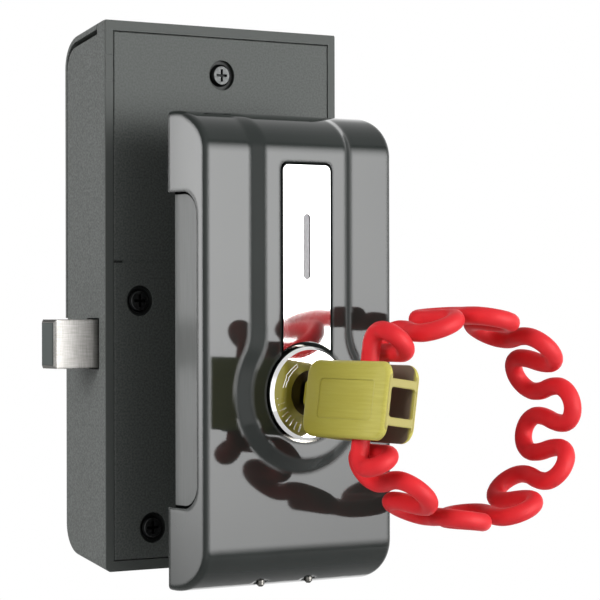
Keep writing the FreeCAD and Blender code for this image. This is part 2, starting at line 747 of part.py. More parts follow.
def wristband_path():
    """Two stretches of bends, one in each side of the ring, joined by legs that lean back in an S."""
    corners = ring_corners()
    strand_top = V(0, STRAND_Y, STRAND_TOP - STRAND_R)
    strand_low = V(0, STRAND_Y, STRAND_BOTTOM + STRAND_R)
    dip = STRAND_R * (1 - math.sqrt(0.5))
    edges = [line(V(0, STRAND_Y, HEAD_Z), strand_top)]
    leg = V(0, STRAND_Y - STRAND_R, STRAND_TOP)
    edges.append(arc(strand_top, V(0, STRAND_Y - dip, STRAND_TOP - dip), leg))
    edges.append(line(leg, V(0, RING_NEAR, STRAND_TOP)))
    last = len(corners) - 2
    for k in range(last + 1):
        (x0, z0), (x1, z1) = corners[k], corners[k + 1]
        near = k % 2 == 0
        y = RING_NEAR if near else RING_FAR
        side = V(x1 - x0, 0, z1 - z0)
        side.normalize()
        start = V(x0, y, z0) - side * (BEND_OVER if 1 < k < last else 0)
        end = V(x1, y, z1) + side * (BEND_OVER if 0 < k < last - 1 else 0)
        if k > 0:
            edges.extend(s_leg(leg, start))
        if k == (last + 1) // 2:
            first = edges
            edges = []
        bulge = start.distanceToPoint(end) / 2
        edges.append(arc(start, (start + end) * 0.5 + V(0, -bulge if near else bulge, 0), end))
        leg = end
    leg = V(0, STRAND_Y - STRAND_R, STRAND_BOTTOM)
    edges.append(line(V(0, RING_NEAR, STRAND_BOTTOM), leg))
    edges.append(arc(leg, V(0, STRAND_Y - dip, STRAND_BOTTOM + dip), strand_low))
    edges.append(line(strand_low, V(0, STRAND_Y, HEAD_Z)))
    return first, edges


def wristband():
    stretches = wristband_path()
    halves = []
    for stretch in stretches:
        start = stretch[0].FirstParameter
        across = V(1, 0, 0)
        up = stretch[0].tangentAt(start).cross(across)
        section = many_sided(TUBE_R, TUBE_SIDES, stretch[0].valueAt(start), across, up)
        halves.append(Part.Wire(stretch).makePipeShell([section], True, False))
    solid = halves[0].fuse(halves[1])
    edges = stretches[0] + stretches[1]
    length = sum(e.Length for e in edges)
    print("wristband length %.1f mm, volume %.0f, section times length %.0f"
          % (length, solid.Volume, math.pi * TUBE_R ** 2 * length))
    radii = [e.Curve.Radius for e in edges if isinstance(e.Curve, Part.Circle)]
    print("wristband bend radii %.1f to %.1f mm" % (min(radii), max(radii)))
    print("wristband least gap to itself %.2f mm" % self_gap(edges))
    return turned(solid)


def self_gap(edges):
    """Least distance between the tube's surfaces at places more than a bend apart along it."""
    points = []
    run = 0.0
    for edge in edges:
        count = max(2, int(edge.Length / 1.0))
        for k in range(count):
            share = edge.FirstParameter + (edge.LastParameter - edge.FirstParameter) * k / count
            points.append((run + edge.Length * k / count, edge.valueAt(share)))
        run += edge.Length
    least = run
    apart = math.pi * 2 * TUBE_R
    for i, (s, p) in enumerate(points):
        for t, q in points[i + 1:]:
            if t - s > apart and run - (t - s) > apart:
                least = min(least, p.distanceToPoint(q))
    return least - 2 * TUBE_R


# Inner case


def case_form(rear, top, side, bottom, front=0.0):
    """The tapered case, drawn in by its own amount on each side, with a rounded rear top and bottom."""
    y0 = CASE_FRONT + front
    y1 = CASE_REAR - rear
    top_slope = math.tan(math.radians(TOP_DRAFT))
    low_slope = math.tan(math.radians(BOTTOM_DRAFT))
    side_slope = math.tan(math.radians(SIDE_DRAFT))

    def high(y):
        return CASE_TOP - top - (y - CASE_FRONT) * top_slope

    def low(y):
        return CASE_BOTTOM + bottom + (y - CASE_FRONT) * low_slope

    def left(y):
        return CASE_LEFT + side + (y - CASE_FRONT) * side_slope

    def right(y):
        return CASE_RIGHT - side - (y - CASE_FRONT) * side_slope

    view = [V(-100, y0, high(y0)), V(-100, y1, high(y1)), V(-100, y1, low(y1)), V(-100, y0, low(y0))]
    block = Part.Face(Part.makePolygon(view + view[:1])).extrude(V(200, 0, 0))
    rear_edges = [e for e in block.Edges if abs(e.CenterOfMass.y - y1) < 0.01 and abs(e.tangentAt(0).x) > 0.99]
    block = block.makeFillet(max(REAR_ROUND - rear, 1.0), rear_edges)
    plan = [V(left(y0), y0, -200), V(left(y1), y1, -200), V(right(y1), y1, -200), V(right(y0), y0, -200)]
    sides = Part.Face(Part.makePolygon(plan + plan[:1])).extrude(V(0, 0, 400))
    return block.common(sides)


def soft_sides(shape, radius):
    """Rounds the long outline edges of both drafted sides."""
    slope = math.tan(math.radians(SIDE_DRAFT))

    def on_side(p):
        shift = (p.y - CASE_FRONT) * slope
        near = abs(p.x - CASE_LEFT - shift) < 0.02 or abs(CASE_RIGHT - shift - p.x) < 0.02
        return near

    wanted = [e for e in edges_where(shape, on_side) if e.BoundBox.YMax > CASE_FRONT + 0.1]
    return shape.makeFillet(radius, wanted)


def plate_box(y0, y1, grow):
    """The case plate's rectangle, grown or shrunk."""
    return box(CASE_LEFT + PLATE_SIDE - grow, CASE_RIGHT - PLATE_SIDE + grow, y0, y1,
               CASE_BOTTOM + PLATE_TOP - grow, CASE_TOP - FRAME_DROP - PLATE_TOP + grow)


def case_hollow():
    """The room inside the case, open to the rear and top under the battery cover."""
    closed = case_form(LID_WALL + LID_GAP, LID_WALL + LID_TOP_GAP, CASE_WALL, CASE_WALL, PLATE_T + LEDGE_T)
    low = closed.common(box(-99, 99, 0, 99, CASE_BOTTOM, LID_END))
    front = closed.common(box(-99, 99, 0, CASE_FRONT + FRAME_DEPTH + 1, LID_END - 2, CASE_TOP))
    behind = case_form(-9.0, -9.0, CASE_WALL, CASE_WALL, FRAME_DEPTH)
    behind = behind.common(box(-99, 99, 0, 99, LID_END - LID_GAP, CASE_TOP + 20))
    return low.fuse([front, behind])


def case_ribs():
    """Battery tray, the walls round it and the screw bosses, each cut to the case's room."""
    room = case_form(LID_WALL + LID_GAP, LID_WALL + LID_TOP_GAP, CASE_WALL / 2, CASE_WALL / 2, PLATE_T + LEDGE_T)
    shelf_z = LID_END - LID_GAP - TRAY_T
    tray = box(-99, 99, SHELL_FRONT, CASE_REAR, TRAY_Z, TRAY_Z + TRAY_T)
    tray_wall = box(-99, 99, TRAY_WALL_Y, TRAY_WALL_Y + TRAY_T, TRAY_Z, CASE_TOP)
    back_wall = box(-99, 99, BACK_WALL_Y, BACK_WALL_Y + TRAY_T, shelf_z, TRAY_Z + TRAY_T)
    ribs = [tray.common(room), tray_wall.common(room), back_wall.common(room)]
    deep = case_form(LID_PROUD + 1.0, LID_WALL, CASE_WALL / 2, CASE_WALL / 2, PLATE_T)
    ribs.append(box(-99, 99, BACK_WALL_Y, CASE_REAR, shelf_z, shelf_z + TRAY_T).common(deep))
    for x, z in SCREW_PLACES:
        if z > TRAY_Z:
            ribs.append(rod(BOSS_R, CASE_FRONT + PLATE_T, TRAY_WALL_Y + 0.5, x, z))
        elif z > 0:
            ribs.append(rod(BOSS_R, CASE_FRONT + PLATE_T, BACK_WALL_Y + 0.5, x, z))
            ribs.append(rod(BOSS_R + 1.5, CTRL_Y + BOARD_T, BACK_WALL_Y + 0.5, x, z))
        else:
            ribs.append(rod(BOSS_R, CASE_FRONT + PLATE_T, BACK_WALL_Y, x, z))
            ribs.append(rod(BOSS_R + 1.5, CTRL_Y + BOARD_T, CASE_REAR, x, z).common(deep))
    return ribs


def case_shell():
    """Moulded housing: side walls all the way up, rear wall only behind the bolt work."""
    shell = soft_sides(case_form(LID_PROUD, 0.0, 0.0, 0.0), CASE_EDGE)
    under_lid = box(-99, 99, CASE_FRONT + FRAME_DEPTH, 99, LID_END - LID_GAP, CASE_TOP + 9)
    under_lid = under_lid.cut(case_form(LID_WALL + LID_GAP, LID_WALL + LID_TOP_GAP, -5.0, 0.0))
    above_frame = box(-99, 99, 0, 99, CASE_TOP - FRAME_DROP, CASE_TOP + 9)
    seat = plate_box(0, CASE_FRONT + PLATE_T, PLATE_GAP)
    mouth = plate_box(0, SHELL_FRONT + 0.1, -LEDGE)
    shell = shell.cut([under_lid, above_frame, case_hollow(), seat, mouth])
    shell = joined(shell, *case_ribs())
    cuts = [bolt_slot()]
    for x, z in SCREW_PLACES:
        cuts.append(rod(SCREW_R, CASE_FRONT, CASE_FRONT + PLATE_T + SCREW_LEN, x, z))
    for z in TAB_LINES:
        cuts.append(box(CASE_LEFT - 1, CASE_LEFT + PLATE_SIDE, CASE_FRONT - 1, CASE_FRONT + LINE_DEEP,
                        z - LINE_W / 2, z + LINE_W / 2))
    return shell.cut(cuts)


def bolt_slot():
    gap = BOLT_SLOT
    return box(CASE_LEFT - 5, CASE_LEFT + 8, BOLT_FRONT - gap, BOLT_REAR + gap, BOLT_LOW - gap, BOLT_HIGH + gap)


def case_plate():
    """Cover plate against the door, with sunk screws."""
    plate = plate_box(CASE_FRONT, CASE_FRONT + PLATE_T, 0.0)
    front = edges_where(plate, lambda p: p.y < CASE_FRONT + 0.01)
    plate = plate.makeChamfer(0.25, front)
    floor = CASE_FRONT + PLATE_T
    bearing = rod(HUB_R + 2.5, floor, BOLT_FRONT + PINION_IN - 0.3)
    plate = joined(plate, bearing)
    cuts = [rod(BARREL_R + 0.3, 0, CASE_FRONT + BARREL_END + 0.1), rod(HUB_R + 0.05, 0, 60)]
    for x, z in SCREW_PLACES:
        cuts.append(rod(SCREW_SINK_R, 0, CASE_FRONT + SCREW_SINK, x, z))
        cuts.append(rod(SCREW_R + FIT, 0, floor + 1, x, z))
    for x, z in FIXING_PLACES:
        cuts.append(rod(BOLT_R + FIT, 0, floor + 1, x, z))
    cuts.append(rod(CABLE_R + 0.8, 0, floor + 1, CABLE_X, CABLE_Z))
    left = CASE_LEFT + PLATE_SIDE
    cuts.append(box(left - 1, left + MARK_LEN, 0, CASE_FRONT + 2 * LINE_DEEP, MARK_Z - LINE_W, MARK_Z + LINE_W))
    cuts.append(box(left, CASE_RIGHT, 0, CASE_FRONT + LINE_DEEP / 3, MARK_Z - LINE_W / 3, MARK_Z + LINE_W / 3))
    return plate.cut(cuts)


def battery_cover():
    """Removable lid: the rear and top skin of the case down to the bolt, with inner ribs."""
    whole = soft_sides(case_form(0.0, 0.0, 0.0, 0.0), CASE_EDGE)
    core = case_form(LID_WALL, LID_WALL, -20.0, -20.0)
    region = box(-99, 99, CASE_FRONT + FRAME_DEPTH + LID_GAP, 99, LID_END, CASE_TOP + 9)
    lid = whole.cut(core).common(region)
    inside = case_form(LID_WALL - 0.1, LID_WALL - 0.1, CASE_WALL + 0.4, 0.0)
    ribs = []
    for x in (CASE_MID - 20, CASE_MID, CASE_MID + 20):
        ribs.append(box(x - 0.7, x + 0.7, CELL_Y + CELL_R + CELL_GAP, CASE_REAR, TRAY_Z + TRAY_T + 0.3, CASE_TOP))
    grown = inside.cut(case_form(LID_WALL + 1.6, LID_WALL + 1.6, -20.0, -20.0))
    return joined(lid, *[rib.common(grown) for rib in ribs])


def plate_screws():
    """Cross-recess screws of the case plate."""
    screws = []
    seat = CASE_FRONT + SCREW_SINK
    for x, z in SCREW_PLACES:
        head = rod(SCREW_HEAD_R, seat - SCREW_HEAD_T, seat, x, z)
        dome = edges_where(head, lambda p: p.y < seat - SCREW_HEAD_T + 0.01)
        head = head.makeChamfer(SCREW_HEAD_T * 0.5, dome)
        shank = rod(SCREW_R - FIT / 2, seat - 0.2, CASE_FRONT + PLATE_T + SCREW_LEN - 0.5, x, z)
        cross = [box(x - 1.9, x + 1.9, 0, seat - 0.45, z - 0.4, z + 0.4)]
        cross.append(box(x - 0.4, x + 0.4, 0, seat - 0.45, z - 1.9, z + 1.9))
        screws.append(joined(head, shank).cut(cross))
    return Part.makeCompound(screws)


def fixing_bolts():
    """Two bolts that clamp both units on the door."""
    bolts = []
    seat = CASE_FRONT + PLATE_T
    for x, z in FIXING_PLACES:
        head = rod(BOLT_HEAD_R, seat, seat + BOLT_HEAD_T, x, z)
        shank = rod(BOLT_R, -BOLT_REACH, seat + 0.5, x, z)
        socket = Part.makeCylinder(1.5, 2.0, V(x, seat + BOLT_HEAD_T - 1.6, z), V(0, 1, 0))
        bolts.append(joined(head, shank).cut(socket))
    return Part.makeCompound(bolts)


# Bolt work


def rack_tooth(x):
    """One straight-sided tooth space cut into the bolt tail's lower edge."""
    slope = math.tan(math.radians(20))
    tip = PITCH_R - MODULE
    root = PITCH_R + 1.25 * MODULE
    half = math.pi * MODULE / 4 + BACKLASH / 4
    wide = half + slope * (PITCH_R - tip + 1)
    narrow = half - slope * (root - PITCH_R)
    corners = [V(x - wide, BOLT_FRONT - 1, tip - 1), V(x + wide, BOLT_FRONT - 1, tip - 1),
               V(x + narrow, BOLT_FRONT - 1, root), V(x - narrow, BOLT_FRONT - 1, root)]
    return Part.Face(Part.makePolygon(corners + corners[:1])).extrude(V(0, BOLT_T + 2, 0))


def bolt():
    """Square deadbolt with a rack on its tail and two notches for the blocking pin."""
    left = CASE_LEFT - BOLT_OUT
    shoulder = CASE_LEFT + CASE_WALL + TRAVEL + 1.0
    nose = box(left, shoulder, BOLT_FRONT, BOLT_REAR, BOLT_LOW, BOLT_HIGH)
    end = edges_where(nose, lambda p: p.x < left + 0.01)
    nose = nose.makeChamfer(BOLT_BEVEL, end)
    tail = box(shoulder - 1, BOLT_TAIL_END, BOLT_FRONT, BOLT_REAR, PITCH_R - MODULE, BOLT_HIGH)
    body = joined(nose, tail)
    pitch = math.pi * MODULE
    cuts = []
    first = math.ceil((RACK_START / pitch) - 0.5) + 0.5
    x = first * pitch
    while x < RACK_END + pitch:
        cuts.append(rack_tooth(x))
        x += pitch
    for x in (SOL_X, SOL_X - TRAVEL):
        cuts.append(box(x - NOTCH_HALF, x + NOTCH_HALF, 0, 60, BOLT_HIGH - NOTCH_DEEP, BOLT_HIGH + 1))
    return body.cut(cuts)


def lock_chassis():
    """Steel plate behind the bolt, with a folded lip over it and the pinion's rear bearing."""
    plate = box(CHASSIS_LEFT, CHASSIS_RIGHT, CHASSIS_Y, CHASSIS_Y + CHASSIS_T, CHASSIS_LOW, CHASSIS_HIGH)
    lip_z = BOLT_HIGH + 0.3
    lip = box(CHASSIS_LEFT, SOL_X - 5, BOLT_FRONT, CHASSIS_Y + 0.5, lip_z, lip_z + CHASSIS_T)
    foot_z = BOLT_LOW - 0.3 - CHASSIS_T
    foot = box(CHASSIS_LEFT, CASE_LEFT + 17, BOLT_FRONT, CHASSIS_Y + 0.5, foot_z, foot_z + CHASSIS_T)
    chassis = joined(plate, lip, foot)
    cuts = [rod(HUB_R + 0.05, 0, 60)]
    for x, z in SCREW_PLACES[1:]:
        cuts.append(rod(BOSS_R + 0.4, 0, 60, x, z))
    for x, z in chassis_posts():
        cuts.append(rod(POST_R - 0.7, 0, 60, x, z))
    return chassis.cut(cuts)


def chassis_posts():
    return [(CHASSIS_LEFT + 4, CHASSIS_LOW + 4), (CHASSIS_RIGHT - 4, CHASSIS_LOW + 4),
            (CHASSIS_RIGHT - 3, BOLT_LOW + 6)]


def chassis_pillars():
    """Spacers between the case plate and the chassis, riveted through it."""
    pillars = []
    for x, z in chassis_posts():
        stem = rod(POST_R, CASE_FRONT + PLATE_T, CHASSIS_Y, x, z)
        pillars.append(joined(stem, rod(POST_R - 0.8, CHASSIS_Y - 0.5, CHASSIS_Y + CHASSIS_T + 0.6, x, z)))
    return Part.makeCompound(pillars)


def solenoid():
    """Coil in a steel yoke above the bolt, standing on the chassis plate by one leg."""
    yoke = box(SOL_X - SOL_HALF, SOL_X + SOL_HALF, PIN_Y - SOL_DEPTH, PIN_Y + SOL_DEPTH, SOL_LOW, SOL_HIGH)
    inner = box(SOL_X - SOL_HALF + SOL_PLATE, SOL_X + SOL_HALF - SOL_PLATE, PIN_Y - 9, PIN_Y + 9,
                SOL_LOW + SOL_PLATE, SOL_HIGH - SOL_PLATE)
    coil = post(COIL_R, SOL_X, PIN_Y, SOL_LOW + SOL_PLATE - FIT, SOL_HIGH - SOL_PLATE + FIT)
    leg = box(SOL_X + SOL_HALF - 2, SOL_X + SOL_HALF, PIN_Y - SOL_DEPTH, CHASSIS_Y + CHASSIS_T,
              CHASSIS_HIGH, SOL_LOW + 1)
    body = joined(yoke.cut(inner), coil, leg)
    return body.cut(post(PIN_R + RUN, SOL_X, PIN_Y, SOL_LOW - 1, SOL_HIGH - 3.0))


def blocking_pin():
    """Plunger that drops into a notch of the bolt; drawn back at rest."""
    stem = post(PIN_R, SOL_X, PIN_Y, PIN_TIP, SOL_HIGH - 3.5)
    tip = edges_where(stem, lambda p: p.z < PIN_TIP + 0.01)
    stem = stem.makeChamfer(0.5, tip)
    return joined(stem, post(COLLAR_R, SOL_X, PIN_Y, COLLAR_LOW, COLLAR_LOW + COLLAR_T))


def pin_spring():
    """Spring between the pin's collar and the yoke."""
    low = COLLAR_LOW + COLLAR_T + SPRING_WIRE + SPRING_GAP
    high = SOL_LOW - SPRING_WIRE - SPRING_GAP
    helix = Part.makeHelix((high - low) / SPRING_TURNS, high - low, SPRING_R)
    helix.translate(V(SOL_X, PIN_Y, low))
    start = helix.Edges[0].valueAt(helix.Edges[0].FirstParameter)
    section = many_sided(SPRING_WIRE, SPRING_SIDES, start, V(1, 0, 0), V(0, 0, 1))
    return Part.Wire(helix.Edges).makePipeShell([section], True, True)


# Batteries, boards and cable


def cell_places():
    return [CASE_MID + CELL_PITCH * (k - (CELL_COUNT - 1) / 2) for k in range(CELL_COUNT)]


def batteries():
    cells = []
    for k, x in enumerate(cell_places()):
        body = post(CELL_R, x, CELL_Y, CELL_LOW, CELL_LOW + CELL_LEN)
        rims = [e for e in body.Edges if isinstance(e.Curve, Part.Circle)]
        body = body.makeChamfer(0.5, rims)
        if k % 2:
            nub = post(CELL_NUB_R, x, CELL_Y, CELL_LOW - CELL_NUB, CELL_LOW + 0.2)
        else:
            nub = post(CELL_NUB_R, x, CELL_Y, CELL_LOW + CELL_LEN - 0.2, CELL_LOW + CELL_LEN + CELL_NUB)
        cells.append(joined(body, nub))
    return Part.makeCompound(cells)


def battery_contacts():
    """Strip contacts at both ends of the cells, linking them in series."""
    places = cell_places()
    low = CELL_LOW - CELL_NUB - CONTACT_T
    high = CELL_LOW + CELL_LEN + CELL_NUB
    strips = []
    groups = ((high, (0, 1)), (high, (2, 3)), (low, (1, 2)), (low, (0, 0)), (low, (3, 3)))
    for z, (first, last) in groups:
        strips.append(box(places[first] - 4, places[last] + 4, CELL_Y - 5, CELL_Y + 4, z, z + CONTACT_T))
    wall_y = TRAY_WALL_Y + TRAY_T
    shaped = []
    for strip, (z, _) in zip(strips, groups):
        room = strip.BoundBox
        tab = box(room.XMin, room.XMax, wall_y, CELL_Y - 4.9, z, z + CONTACT_T)
        shaped.append(joined(strip, tab))
    return Part.makeCompound(shaped)


def control_board():
    board = box(CTRL_LEFT, CTRL_RIGHT, CTRL_Y, CTRL_Y + BOARD_T, CTRL_LOW, CTRL_HIGH)
    parts = [box(0, 12, CTRL_Y - 1.6, CTRL_Y, -36, -24), box(16, 22, CTRL_Y - 1.2, CTRL_Y, -30, -20)]
    parts.append(box(CABLE_X - 4, CABLE_X + 4, CTRL_Y - 3.0, CTRL_Y, CABLE_Z - 3, CABLE_Z + 3))
    parts.append(rod(3.2, CTRL_Y - 8.0, CTRL_Y, 2, CTRL_HIGH - 9))
    board = joined(board, *parts)
    cuts = []
    for x, z in SCREW_PLACES[1:]:
        cuts.append(rod(BOSS_R + 0.2, 0, 60, x, z))
    return board.cut(cuts)


def link_cable():
    """Round cable from the reader's socket through the door to the control board's socket."""
    start = READER_Y + BOARD_T + 3.0
    return rod(CABLE_R, start, CTRL_Y - 3.0, CABLE_X, CABLE_Z)


NODES = {
    "front_cover": front_cover,
    "side_insert": side_insert,
    "base_plate": base_plate,
    "fascia_plate": fascia_plate,
    "light_pipe": light_pipe,
    "reader_board": reader_board,
    "antenna_coil": antenna_coil,
    "contact_studs": contact_studs,
    "cylinder_rosette": cylinder_rosette,
    "cylinder_housing": cylinder_housing,
    "cylinder_nut": cylinder_nut,
    "cylinder_plug": cylinder_plug,
    "wafers": wafers,
    "plug_clip": plug_clip,
    "drive_spindle": drive_spindle,
    "drive_pinion": drive_pinion,
    "key_blade": key_blade,
    "key_head": key_head,
    "transponder": transponder,
    "wristband": wristband,
    "case_shell": case_shell,
    "case_plate": case_plate,
    "plate_screws": plate_screws,
    "fixing_bolts": fixing_bolts,
    "bolt": bolt,
    "lock_chassis": lock_chassis,
    "chassis_pillars": chassis_pillars,
    "solenoid": solenoid,
    "blocking_pin": blocking_pin,
    "pin_spring": pin_spring,
    "battery_cover": battery_cover,
    "batteries": batteries,
    "battery_contacts": battery_contacts,
    "control_board": control_board,
    "link_cable": link_cable,
}


def main():
    os.makedirs("parts", exist_ok=True)
    for name, make in NODES.items():
        shape = make()
        print("%-18s solids %d valid %s volume %.0f" % (name, len(shape.Solids), shape.isValid(), shape.Volume))
        shape.exportStep("parts/%s.step" % name)


main()
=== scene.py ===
"""Electronic locker lock in a white studio: the glossy outer unit in front, the battery case behind
it, and a key on a red zigzag wristband. Metres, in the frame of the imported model."""
import math

import bpy
from mathutils import Matrix, Vector


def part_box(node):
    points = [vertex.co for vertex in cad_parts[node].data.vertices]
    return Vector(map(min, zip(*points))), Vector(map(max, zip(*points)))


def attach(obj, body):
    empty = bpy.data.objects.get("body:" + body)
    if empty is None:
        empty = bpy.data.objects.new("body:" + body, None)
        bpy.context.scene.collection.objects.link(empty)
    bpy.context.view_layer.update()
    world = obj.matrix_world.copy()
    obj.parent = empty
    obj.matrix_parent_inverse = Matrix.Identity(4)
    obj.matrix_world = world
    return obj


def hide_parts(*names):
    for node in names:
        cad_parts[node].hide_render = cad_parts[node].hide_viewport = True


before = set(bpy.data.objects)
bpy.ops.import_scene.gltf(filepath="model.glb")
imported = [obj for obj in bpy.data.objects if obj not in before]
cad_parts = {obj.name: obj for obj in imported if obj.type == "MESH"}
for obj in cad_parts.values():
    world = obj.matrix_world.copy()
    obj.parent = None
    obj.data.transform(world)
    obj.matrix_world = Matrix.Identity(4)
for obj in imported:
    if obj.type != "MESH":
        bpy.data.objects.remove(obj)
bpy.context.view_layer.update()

MM = 0.001

# Camera, where the photograph was taken from
IMAGE = 600                     # the photograph's width and height in pixels
CAMERA_AT = (-0.43623, -0.63674, 0.02622)
CAMERA_TURN = 35.247            # degrees to the right of straight into the locker
CAMERA_TILT = 0.083             # degrees above level
CAMERA_ROLL = 0.113             # degrees
FOCAL_PIXELS = 2577.6
SENSOR = 36.0                   # millimetres
NEAR_LIMIT = 0.05

# Studio
FLOOR_Z = -0.36
FLOOR_R = 0.6
FLOOR_SIDES = 96
FLOOR_FADE = (0.35, 0.95)       # shares of its radius between which the paper turns all white
FLOOR_GLOW = 0.42               # the white that its middle already has of itself
AMBIENT = 0.25                  # even light on matt surfaces
MIRROR_LEVEL = 1.4              # what reflections show of the studio
REAR_LEVEL = 0.35               # and what they show of it towards the rear left
REAR_LEFT = (-0.577, 0.8167, 0)
REAR_FADE = (0.2, 0.75)         # cosines of the angle to the rear left between which it dims
OVERHEAD_SHARE = 0.55           # what is left of the level overhead
OVERHEAD_FADE = (0.25, 0.6)     # sines of the height above level between which it dims
SOFT_BOXES = (                  # name, place, width and height, strength, even share
    ("right_soft_box", (0.486, -1.124, 0.13), (2.0, 1.6), 12.4, 0.04),
    ("rear_strip_box", (-0.69, 0.98, 0.13), (0.16, 1.05), 6.6, 0.1),
)
LAMPS = (                       # name, place, side of its square, watts
    ("right_light", (0.69, -0.98, 0.2), 0.9, 12.5),
    ("left_fill", (-1.05, -0.35, 0.45), 0.6, 8.5),
)

# Wristband, as the moulded tube of the construction
KEY_TURN = 8.0                  # degrees that the key stands turned
TUBE_R = 2.65 * MM
TUBE_ROUNDNESS = 7              # bevel resolution that gives the tube 18 sides
BEND_STEPS = 10                 # steps from one point of its line to the next
RING_X = 36.3 * MM              # middle of the ring that the zigzag lies on
RING_Z = -2.15 * MM
RING_A = 33.8 * MM              # half its width and half its height
RING_B = 29.7 * MM
RING_START = 148.5              # degrees at its first and its last corner
RING_END = -153.0
RING_CORNERS = 18
RING_NEAR = -56.0 * MM          # where the near and the far bends begin
RING_FAR = -45.0 * MM
BEND_OVER = 1.0 * MM            # bends reach past the ring's corners, so the legs lean back
STRAND_Y = -51.7 * MM           # the straight strand through the key's head
STRAND_R = 4.0 * MM
STRAND_TOP = 18.9 * MM
STRAND_BOTTOM = -20.2 * MM
ROUND = 0.5523                  # handle share of a quarter circle
LEAST_REACH = 0.2 * STRAND_R    # of a handle
STRAIGHT = 0.01 * MM            # a leg that steps aside less than this is straight

WAVE_RUN = 20                   # radians that the wave texture runs per unit

# Outlines that the finishes follow, in millimetres. A pair is where a mask starts and is full.
FASCIA_HALF = 8.65
FASCIA_TOP = 67.0
FASCIA_ROUND = 2.1
FASCIA_RIM_PAINTED_SHADE = (0.4, 0.2)         # inside the fascia's edge, where its painted shade lies
GAP_SHADE = (-0.8, -0.65)       # outside the fascia's edge: painted shade of the gap
GAP_DULL = (-0.75, -0.65)
CUT_DEPTH = 15.2                # the cut in the side wall
CUT_SHADE = 3.1
CUT_BACK = 3 * CUT_DEPTH        # far behind the wall, as the cut is open there
CUT_LOW = -33.1
CUT_HIGH = 58.8
CUT_ROUND = 7.0
CUT_RIM_PAINTED_SHADE = (0.7, 0.55)           # inside the insert's edge, where its painted shade lies
HOLLOW_WALLS = (4.16, 4.1)      # off the middle of the key's head, between its walls: the painted shade of the hollow
HOLLOW_LIP = (-68.5, -67.1)     # inwards from the head's free end
HOLLOW_FLOOR = (-45.7, -46.2)
NECK_PAINTED_SHADE = (-64.0, -30.0)      # painted shade, from none at the free end to full at the neck
END_FACE_PAINTED_SHADE = (-68.45, -68.6)     # painted shade on the face of the free end
BOLT_LOW = 7.2
BOLT_HIGH = 21.7
BOLT_EDGE = 0.9                 # the band round the end face that its painted dark reflection leaves out
BOLT_CORNER = 0.3
BOLT_BEHIND = 0.25              # how far the end's outline reaches into the bolt
BOLT_BEYOND = 40.0              # and out past it
BOLT_END_PAINTED_REFLECTION = (0.0, 0.15)
FRAME_FACE_PAINTED_SHADE = (0.8, 0.2)        # painted shade, at depths behind the front of the case, the plate and the screws
PLATE_RECESS_PAINTED_SHADE = (0.2, 0.4)
SCREW_RECESS_PAINTED_SHADE = (0.1, 0.2)
SLEEVE_CHANGE = (0.71, 0.72)    # shares of a cell's height

# Marks on the cylinder's disc
MARK_RISE = 0.12 * MM
MARK_WIDTH = 0.3 * MM
MARK_BEVEL = 0.6 * MARK_RISE
MARK_OVERLAP = 0.6 * MARK_WIDTH
ARROW_R = 9.4 * MM
ARROW_HALF = 0.42 * MM          # half the width of the outlined arrow
ARROW_OUTLINE = (               # degrees round the disc, and half widths across the arrow
    (168, -1), (155, -1), (155, -1.7), (148, -1), (134, -1), (119, -1),
    (119, 1), (134, 1), (148, 1.7), (148, 1), (168, 1),
)
INDEX_R = 10.6 * MM
INDEX_LEN = 2.4 * MM
INDEX_TURNS = (186, 195, 204, 213, 222, 231, 240, 249)


def add_camera():
    """The camera that was fitted to the photograph's edges."""
    data = bpy.data.cameras.new("camera")
    data.sensor_width = SENSOR
    data.lens = SENSOR * FOCAL_PIXELS / IMAGE
    data.clip_start = NEAR_LIMIT
    camera = bpy.data.objects.new("camera", data)
    bpy.context.scene.collection.objects.link(camera)
    camera.location = CAMERA_AT
    turns = (90 + CAMERA_TILT, CAMERA_ROLL, -CAMERA_TURN)
    camera.rotation_euler = [math.radians(turn) for turn in turns]
    bpy.context.scene.camera = camera


# Shader building


def linear(hex_colour):
    """A paint chip's hex value as the linear colour that a shader takes."""
    channels = [int(hex_colour[i:i + 2], 16) / 255 for i in (1, 3, 5)]
    return tuple(c / 12.92 if c <= 0.04045 else ((c + 0.055) / 1.055) ** 2.4
                 for c in channels) + (1.0,)


def per_mm(size):
    """Texture scale at which one feature of the pattern measures this many millimetres."""
    return 1000.0 / size


def waves_per_mm(spacing):
    """Wave texture scale at which its crests lie this many millimetres apart."""
    return per_mm(spacing) * 2 * math.pi / WAVE_RUN


def add(tree, kind, values=None, links=None, **settings):
    """Adds one node with its settings, its typed values and the sockets that feed it."""
    node = tree.nodes.new(kind)
    for name, value in settings.items():
        setattr(node, name, value)
    for name, value in (values or {}).items():
        node.inputs[name].default_value = value
    for name, source in (links or {}).items():
        tree.links.new(source, node.inputs[name])
    return node


def new_material(name, **values):
    """A material with one Principled shader; the values go on the shader's own sockets."""
    material = bpy.data.materials.new(name)
    material.use_nodes = True
    tree = material.node_tree
    tree.nodes.clear()
    named = {key.replace("_", " "): value for key, value in values.items()}
    shader = add(tree, "ShaderNodeBsdfPrincipled", named)
    add(tree, "ShaderNodeOutputMaterial", links={"Surface": shader.outputs["BSDF"]})
    return material, tree, shader


def object_axes(tree):
    """The piece's own X, Y and Z, each as a socket."""
    place = add(tree, "ShaderNodeTexCoord")
    return add(tree, "ShaderNodeSeparateXYZ", links={"Vector": place.outputs["Object"]}).outputs


def stretched(tree, stretch=(1, 1, 1)):
    """The piece's own coordinates, drawn out along the axes whose stretch is small."""
    place = add(tree, "ShaderNodeTexCoord")
    mapping = add(tree, "ShaderNodeMapping", {"Scale": stretch},
                  {"Vector": place.outputs["Object"]})
    return mapping.outputs["Vector"]


def cloudy(tree, size, detail, stretch=(1, 1, 1)):
    """Cloudy pattern whose features measure about this many millimetres."""
    vector = stretched(tree, stretch)
    node = add(tree, "ShaderNodeTexNoise", {"Scale": per_mm(size), "Detail": detail},
               {"Vector": vector})
    return node.outputs["Fac"]


